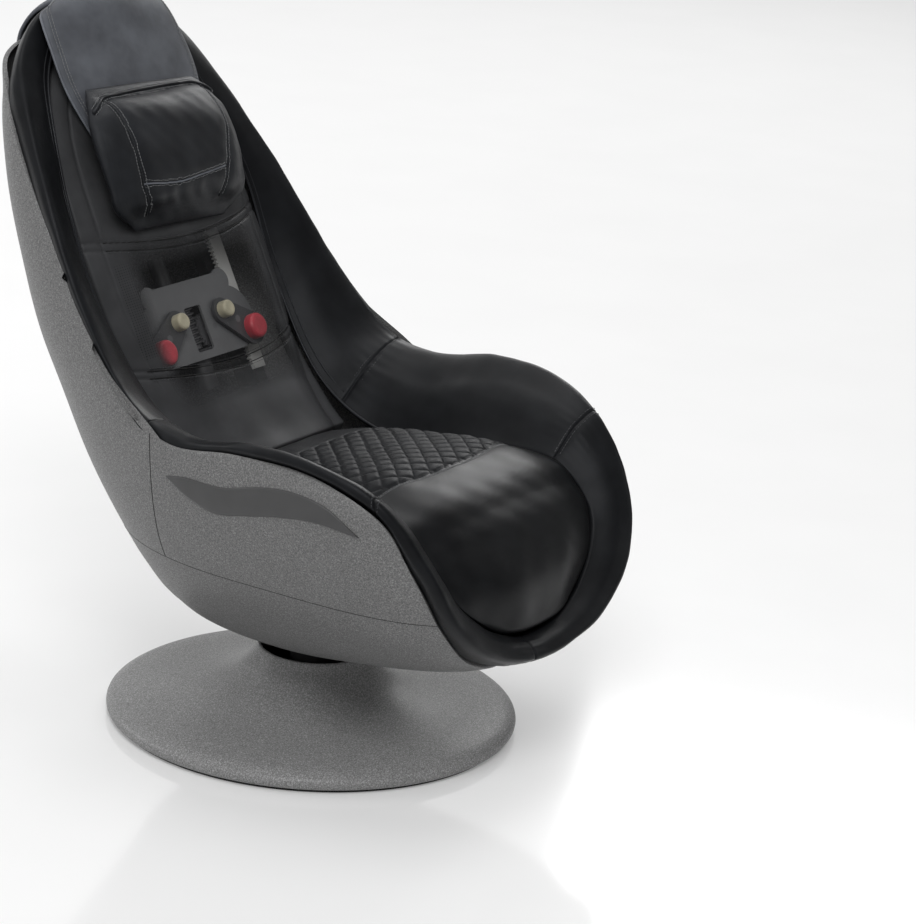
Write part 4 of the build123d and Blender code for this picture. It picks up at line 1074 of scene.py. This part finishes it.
def make_sheer(name):
    """Back cover cloth: dense at the sides, with pin holes, and see-through over the rails."""
    m = Material(name, (0.016, 0.0165, 0.018), 0.46)
    m.set("Specular Tint", (0.25, 0.255, 0.265, 1))
    s = m.add("ShaderNodeVectorMath", operation="DOT_PRODUCT")
    m.link(m.place, s.inputs[0])
    s.inputs[1].default_value = tuple(UP_BACK)
    up = m.maths("SUBTRACT", s.outputs["Value"], float(np.dot(UP_BACK, (0, PLANE_Y, PLANE_Z))) * MM)
    split = m.add("ShaderNodeSeparateXYZ")
    m.link(m.place, split.inputs[0])
    across = m.maths("ABSOLUTE", split.outputs["X"])
    cloud = m.noise(13, 3, 0.6)
    m.color(m.ramp(cloud, (0.3, (0.030, 0.0305, 0.032)), (0.7, (0.046, 0.0465, 0.049))))
    fine = m.noise(900, 3, 0.6)
    pebble = m.cells(760)
    m.bump(m.range(pebble, 0, 0.12, 0, 1), 0.15, 0.0003)
    m.bump(m.noise(34, 4, 0.62, 0.6), 0.10, 0.002)
    hole_x = m.maths("PINGPONG", split.outputs["X"], PIN_PITCH / 2)
    hole_s = m.maths("PINGPONG", up, PIN_PITCH / 2)
    r = m.maths("SQRT", m.maths("ADD", m.maths("POWER", hole_x, 2.0), m.maths("POWER", hole_s, 2.0)))
    hole = m.range(r, 0.0006, 0.0009, 1, 0)
    zone = m.maths("MULTIPLY", m.range(across, 0.140, 0.144, 0, 1), m.range(across, 0.186, 0.190, 1, 0))
    rows = m.maths("MULTIPLY", m.range(up, 0.000, 0.006, 0, 1), m.range(up, 0.150, 0.160, 1, 0))
    zone = m.maths("MULTIPLY", zone, rows)
    pins = m.maths("MULTIPLY", hole, zone)
    base = m.bsdf.inputs["Base Color"].links[0].from_socket
    m.color(m.mix(pins, base, (0.002, 0.002, 0.002)))
    soft = m.range(across, 0.135, 0.166, 1, 0)
    tall = m.maths("MULTIPLY", m.range(up, -0.100, -0.035, 0, 1), m.range(up, 0.135, 0.185, 1, 0))
    soft = m.maths("MULTIPLY", soft, tall)
    m.link(m.maths("SUBTRACT", 1.0, m.maths("MULTIPLY", soft, SHEER_CLEAR)), m.bsdf.inputs["Alpha"])
    return m.mat


sheer = make_sheer("sheer_back")
back = grid_object("back_skin", back_skin(), sheer, flip=True)
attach(back, "chair")
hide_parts("back_cover", "back_foam_left", "back_foam_right", "upper_back_foam")


# Seams and threads of the back

def back_seams():
    parts = []
    for high, low, width, _ in BACK_SEAMS:
        x = np.linspace(-188, 188, 120)
        s = sag(x, high, low, width)
        n = cover_height(x, s) - 2.2
        path = massage(x, s, n)
        parts.append(tube("seam_line", path, 0.9, black_gap, 5))
    return join("back_seam_lines", parts)


def back_stitches():
    parts = []
    for high, low, width, shift in BACK_SEAMS:
        x = np.linspace(-186, 186, 160)
        s = sag(x, high, low, width) + shift
        path = massage(x, s, cover_height(x, s) - 0.5)
        parts.append(stitches("back_stitch", path, TO_SITTER, 3.4, 1.3, 0.42, thread_dark))
    return join("back_stitches", parts)


for trim in (back_seams(), back_stitches()):
    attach(trim, "chair")


# Headrest flap and the strip behind the crown

def strap_line(stations, v):
    """Half width, middle point, drop at the edges and normal of a strap at the places v."""
    half, y, z, drop = along_rows(numbered(stations), v).T[1:]
    zero = np.zeros(len(v))
    normal = np.stack([zero, -np.gradient(z), np.gradient(y)], axis=1)
    normal /= np.linalg.norm(normal, axis=1)[:, None]
    return half, np.stack([zero, y, z], axis=1), drop, normal


def strap_grid(stations, rows, cols):
    """Underside of a padded sheet through the stations, with its half widths and normals."""
    half, middle, drop, normal = strap_line(stations, np.linspace(0, len(stations) - 1, rows))
    u = np.linspace(-1, 1, cols)
    base = middle[:, None] - normal[:, None] * (drop[:, None] * u[None] ** 2)[:, :, None]
    base[:, :, 0] += half[:, None] * u[None]
    return u, half, base, normal


def strap_loop(top, base, normal, out, up):
    """Closes a padded top with its edge rolls, its underside and its ends."""
    low = base + normal[:, None] * 0.2
    left = base[:, :1] + np.array([-out, 0, 0]) + normal[:, None] * up
    right = base[:, -1:] + np.array([out, 0, 0]) + normal[:, None] * up
    loop = np.concatenate([left, top, right, low[:, ::-1]], axis=1)
    middle = base.shape[1] // 2
    first = np.stack([loop[0] * k + base[0][middle] * (1 - k) for k in (0.0, 0.5)])
    last = np.stack([loop[-1] * k + base[-1][middle] * (1 - k) for k in (0.5, 0.0)])
    return np.concatenate([first, loop, last])


FLAP_LENGTH = 262.0
PAD = 6.0  # thickness under the leather


def flap_skin():
    rows, cols = 150, 130
    u, half, base, normal = strap_grid(FLAP_STATIONS, rows, cols)
    along = np.linspace(0, 1, rows)
    edge_side = (1 - np.abs(u)) * half[:, None]
    edge_end = np.minimum(along, 1 - along)[:, None] * FLAP_LENGTH
    edge = np.minimum(edge_side, edge_end)
    plump = 5.5 * (1 - np.exp(-edge / 16)) + 1.2
    hem = bump(edge - 11, 1.4) * 1.1 + bump(edge - 11, 6) * 0.6
    soft = wave_noise(base, 120, 21) * 1.2 + wave_noise(base, 42, 22) * 0.5
    lift = PAD + (plump - hem + soft * smoothstep(0, 20, edge))
    top = base + normal[:, None] * lift[:, :, None]
    return strap_loop(top, base, normal, 1.6, 3.2)


def strip_skin():
    rows, cols = 90, 120
    u, half, base, normal = strap_grid(STRIP_STATIONS, rows, cols)
    edge = (1 - np.abs(u)) * half[:, None]
    lift = PAD + 2.6 * (1 - np.exp(-edge / 12)) - bump(edge - 10, 1.4) * 0.9
    top = base + normal[:, None] * lift[:, :, None]
    return strap_loop(top, base, normal, 1.5, 3.0)


flap = grid_object("flap_skin", flap_skin(), leather_flap, wrap_cols=True, flip=True)
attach(flap, "headrest")
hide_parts("head_flap")


def flap_trim():
    half, middle, drop, out = strap_line(FLAP_STATIONS, np.linspace(0.1, len(FLAP_STATIONS) - 1.05, 110))
    _, y, z = middle.T
    cords, threads = [], []
    for side in (-1, 1):
        edge = np.stack([side * (half + 1.6), y, z], axis=1) + out * (3.6 - drop)[:, None]
        cords.append(tube("flap_cord", edge, 2.0, edge_cord, 7))
        for inset in (8.5, 13.5):
            u = (half - inset) / half
            line = np.stack([side * half * u, y, z], axis=1) - out * (drop * u**2)[:, None]
            up = out + np.array([side * 0.1, 0, 0])
            lift = PAD + 5.5 * (1 - math.exp(-inset / 16)) + 1.0
            threads.append(stitches("flap_thread", line + up * lift, up, 4.0, 1.6, 0.55, thread_light))
    fold = [(x, HINGE_Y, HINGE_Z) for x in np.linspace(-HINGE_HALF_WIDTH, HINGE_HALF_WIDTH, 40)]
    cords.append(tube("flap_welt", fold, HINGE_RADIUS, leather_flap, 16))
    return join("flap_cords", cords), join("flap_threads", threads)


for trim in flap_trim():
    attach(trim, "headrest")
strip = grid_object("strip_skin", strip_skin(), leather_flap, wrap_cols=True, flip=True)
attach(strip, "chair")
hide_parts("crown_strip")


# Pillow

PILLOW_TURN = math.radians(-2.0)
PILLOW_MIDDLE = 309
TOP_SEAM = [(-170, 388), (-136, 407), (-96, 409), (-27, 410), (52, 409), (118, 402), (146, 380)]
LEFT_SEAM = [
    (-136, 404), (-136, 378), (-136, 347), (-136, 314), (-135, 287), (-132, 262), (-128, 240), (-116, 216),
]
RIGHT_SEAM = [(118, 400), (116, 362), (108, 326), (92, 295), (79, 261), (70, 241), (64, 218)]
LOW_SEAM = [(-131, 261), (-90, 255), (-41, 252), (7, 255), (74, 260)]


def seam_distance(x, s, corners):
    """Distance of places on the pillow's face from a seam line."""
    line = spline_through([(px, ps, 0) for px, ps in corners], 60)[:, :2]
    place = np.stack([x, s], axis=-1)
    return np.min(np.linalg.norm(place[..., None, :] - line, axis=-1), axis=-1)


def pillow_shape(rows=170, cols=260, shrink=0.0):
    """Plump shape between the front and back panels; columns run round the section."""
    table = np.array(PILLOW_STATIONS, float)
    s = PILLOW_MIDDLE + (table[-1, 0] - table[0, 0] - 2 * shrink) / 2 * np.linspace(-1, 1, rows)
    half, front = along_rows(PILLOW_STATIONS, s).T[1:]
    share = np.linspace(-1, 1, rows)
    close = (1 - np.abs(share) ** 5) ** 0.5
    a = np.linspace(0, 2 * math.pi, cols, endpoint=False)
    c, n = np.cos(a), np.sin(a)
    middle = (PILLOW_BACK + front) / 2
    reach = (front - PILLOW_BACK) / 2 * (0.30 + 0.70 * close) - shrink
    x = (half - shrink)[:, None] * np.sign(c) * np.abs(c) ** (2 / 2.7)
    depth = middle[:, None] + reach[:, None] * np.sign(n) * np.abs(n) ** (2 / 2.1)
    s = np.broadcast_to(s[:, None], x.shape)
    turned = x * math.cos(PILLOW_TURN) - (s - PILLOW_MIDDLE) * math.sin(PILLOW_TURN) + PILLOW_SHIFT
    up = x * math.sin(PILLOW_TURN) + (s - PILLOW_MIDDLE) * math.cos(PILLOW_TURN) + PILLOW_MIDDLE
    return turned, up, depth


def pillow_skin():
    x, s, n = pillow_shape()
    grid = massage(x, s, n)
    normal = -grid_normals(grid)
    if (normal[85, 65] * TO_SITTER).sum() < 0:
        normal = -normal
    soft = wave_noise(grid, 85, 31) * 1.5 + wave_noise(grid, 32, 32) * 0.6
    small = massage(*pillow_shape(60, 90, 6.0))
    step = 4
    tree = inflated("pillow_cloth", small, CLOTH_VOXEL, CLOTH_CAP)
    rise = swell(tree, grid[::step, ::step], normal[::step, ::step], -5, 6, 5)
    every = [np.arange(count) for count in x.shape]
    soft = soft + spread(rise, every[0][::step], every[1][::step], *every)
    face = smoothstep(40, 62, n)
    groove = np.zeros(x.shape)
    for corners, deep in ((TOP_SEAM, 3.2), (LEFT_SEAM, 2.6), (RIGHT_SEAM, 3.0), (LOW_SEAM, 2.2)):
        d = seam_distance(x, s, corners)
        groove += bump(d, 2.2) * deep + bump(d, 11) * deep * 0.8
    pleat = np.sin(x / 6.0 + np.sin(s / 9.0)) * bump(s - 236, 15) * 0.9 * smoothstep(80, 30, np.abs(x + 30))
    ends = smoothstep(0, 0.12, 1 - np.abs(np.linspace(-1, 1, 170)))[:, None]
    grid = grid + normal * ((soft * ends - groove * face + pleat * face)[..., None])
    caps = [grid[0].mean(0) + (grid[0] - grid[0].mean(0)) * k for k in (0.0, 0.5)]
    tips = [grid[-1].mean(0) + (grid[-1] - grid[-1].mean(0)) * k for k in (0.5, 0.0)]
    full = np.concatenate([np.array(caps), grid, np.array(tips)])
    return grid_object("pillow_skin", full, leather_pillow, wrap_cols=True, flip=True)


def pillow_trim(tree):
    cords, threads = [], []
    for name, corners, radius, material in (
        ("top", TOP_SEAM, 2.6, piping),
        ("left", LEFT_SEAM, 1.5, piping),
        ("right", RIGHT_SEAM, 1.5, piping),
        ("low", LOW_SEAM, 1.5, edge_cord),
    ):
        line = spline_through([(px, ps, 0) for px, ps in corners], 90)
        path, normals = laid(tree, massage(line[:, 0], line[:, 1], 70.0), TO_SITTER)
        cords.append(tube("pillow_cord_" + name, path + normals * 0.7, radius, material, 7))
        side = np.cross(np.gradient(path, axis=0), normals)
        side /= np.linalg.norm(side, axis=1)[:, None]
        for way in (-1, 1):
            beside, up = laid(tree, path + side * 5.2 * way, TO_SITTER)
            threads.append(stitches("pillow_thread", beside, up, 3.6, 1.6, 0.5, thread_light))
    return join("pillow_cords", cords), join("pillow_threads", threads)


pillow = pillow_skin()
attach(pillow, "headrest")
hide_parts("head_pillow")
cords, threads = pillow_trim(surface_tree(pillow))
for trim in (cords, threads):
    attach(trim, "headrest")


# Photograph setting

def camera():
    a, e, r = (math.radians(v) for v in (AZIMUTH, ELEVATION, ROLL))
    back_axis = Vector((math.sin(a) * math.cos(e), -math.cos(a) * math.cos(e), math.sin(e)))
    forward = -back_axis
    right = forward.cross(Vector((0, 0, 1))).normalized()
    up = right.cross(forward)
    across = right * math.cos(r) + up * math.sin(r)
    upwards = -right * math.sin(r) + up * math.cos(r)
    distance = FOCAL_PX / PX_PER_MM
    x = (ORIGIN_PX[0] - FRAME_PX[0] / 2) / FOCAL_PX * distance
    y = -(ORIGIN_PX[1] - FRAME_PX[1] / 2) / FOCAL_PX * distance
    place = -forward * distance - across * x - upwards * y
    data = bpy.data.cameras.new("camera")
    data.sensor_fit = "AUTO"
    data.sensor_width = SENSOR_WIDTH
    data.lens = FOCAL_PX * SENSOR_WIDTH / FRAME_PX[1]
    data.clip_end = 100
    obj = bpy.data.objects.new("camera", data)
    bpy.context.scene.collection.objects.link(obj)
    rotation = Matrix((across, upwards, -forward)).transposed().to_4x4()
    obj.matrix_world = Matrix.Translation(place * MM) @ rotation
    bpy.context.scene.camera = obj


camera()


KEY_POWER = 320
FILL_POWER = 36
LOW_POWER = 130
TOP_POWER = 120
REAR_POWER = 120
WORLD_LIGHT = 0.40
FLOOR_GLOW = 0.16
FLOOR_HALF = 12000
BRIGHT_SIDE = (-0.55, 0.80, 0.2)
DARK_SIDE_LIGHT = 0.15


def area(name, place, aim, size, power):
    data = bpy.data.lights.new(name, "AREA")
    data.shape = "RECTANGLE"
    data.size = size[0]
    data.size_y = size[1]
    data.energy = power
    obj = bpy.data.objects.new(name, data)
    bpy.context.scene.collection.objects.link(obj)
    obj.location = place
    direction = Vector(aim) - Vector(place)
    obj.rotation_euler = direction.to_track_quat("-Z", "Y").to_euler()


area("key_window", (-5.3, -3.1, 6.8), (0, 0, 0.6), (3.3, 3.3), KEY_POWER)
area("fill_window", (5.3, -6.6, 4.6), (0, 0, 0.6), (3.1, 4.0), FILL_POWER)
area("top_window", (0.7, 0.7, 8.1), (0, 0, 0.6), (4.0, 4.0), TOP_POWER)
area("rear_window", (-2.2, 7.5, 4.1), (0, 0, 0.7), (2.6, 4.4), REAR_POWER)
area("low_window", (7.4, 1.7, 4.6), (0, 0, 0.5), (3.6, 3.0), LOW_POWER)


def largest(tree, total, rays, *names):
    """The largest of a value and the named kinds of ray."""
    for name in names:
        larger = tree.nodes.new("ShaderNodeMath")
        larger.operation = "MAXIMUM"
        tree.links.new(total, larger.inputs[0])
        tree.links.new(rays.outputs[name], larger.inputs[1])
        total = larger.outputs[0]
    return total


def background_rays(tree):
    """1 for camera, glossy and transmission rays, which see the white background."""
    rays = tree.nodes.new("ShaderNodeLightPath")
    return largest(tree, rays.outputs["Is Camera Ray"], rays, "Is Glossy Ray", "Is Transmission Ray")


def studio_world():
    world = bpy.data.worlds.new("studio")
    bpy.context.scene.world = world
    world.use_nodes = True
    tree = world.node_tree
    tree.nodes.clear()
    out = tree.nodes.new("ShaderNodeOutputWorld")
    shades = []
    for strength in (WORLD_LIGHT, 1.0):
        shade = tree.nodes.new("ShaderNodeBackground")
        shade.inputs["Color"].default_value = (1, 1, 1, 1)
        shade.inputs["Strength"].default_value = strength
        shades.append(shade)
    place = tree.nodes.new("ShaderNodeTexCoord")
    side = tree.nodes.new("ShaderNodeVectorMath")
    side.operation = "DOT_PRODUCT"
    side.inputs[1].default_value = BRIGHT_SIDE
    tree.links.new(place.outputs["Generated"], side.inputs[0])
    fall = tree.nodes.new("ShaderNodeMapRange")
    for name, value in zip(("From Min", "From Max", "To Min", "To Max"), (-0.5, 0.15, DARK_SIDE_LIGHT, 1.0)):
        fall.inputs[name].default_value = value
    tree.links.new(side.outputs["Value"], fall.inputs["Value"])
    rays = tree.nodes.new("ShaderNodeLightPath")
    strength = largest(tree, fall.outputs["Result"], rays, "Is Camera Ray", "Is Transmission Ray")
    tree.links.new(strength, shades[1].inputs["Strength"])
    both = tree.nodes.new("ShaderNodeMixShader")
    tree.links.new(background_rays(tree), both.inputs["Fac"])
    tree.links.new(shades[0].outputs["Background"], both.inputs[1])
    tree.links.new(shades[1].outputs["Background"], both.inputs[2])
    tree.links.new(both.outputs["Shader"], out.inputs["Surface"])


def floor():
    m = Material("floor_white", (0.82, 0.82, 0.82), 0.10)
    m.color(m.ramp(m.noise(3, 2, 0.5), (0.3, (0.81, 0.81, 0.81)), (0.7, (0.83, 0.83, 0.83))))
    m.set("Emission Color", (1, 1, 1, 1))
    m.link(m.maths("MULTIPLY", background_rays(m.tree), FLOOR_GLOW), m.bsdf.inputs["Emission Strength"])
    corners = [(x * FLOOR_HALF, y * FLOOR_HALF, 0) for x, y in ((-1, -1), (1, -1), (1, 1), (-1, 1))]
    obj = mesh_object("floor", corners, [(0, 1, 2, 3)], m.mat, False)


studio_world()
floor()
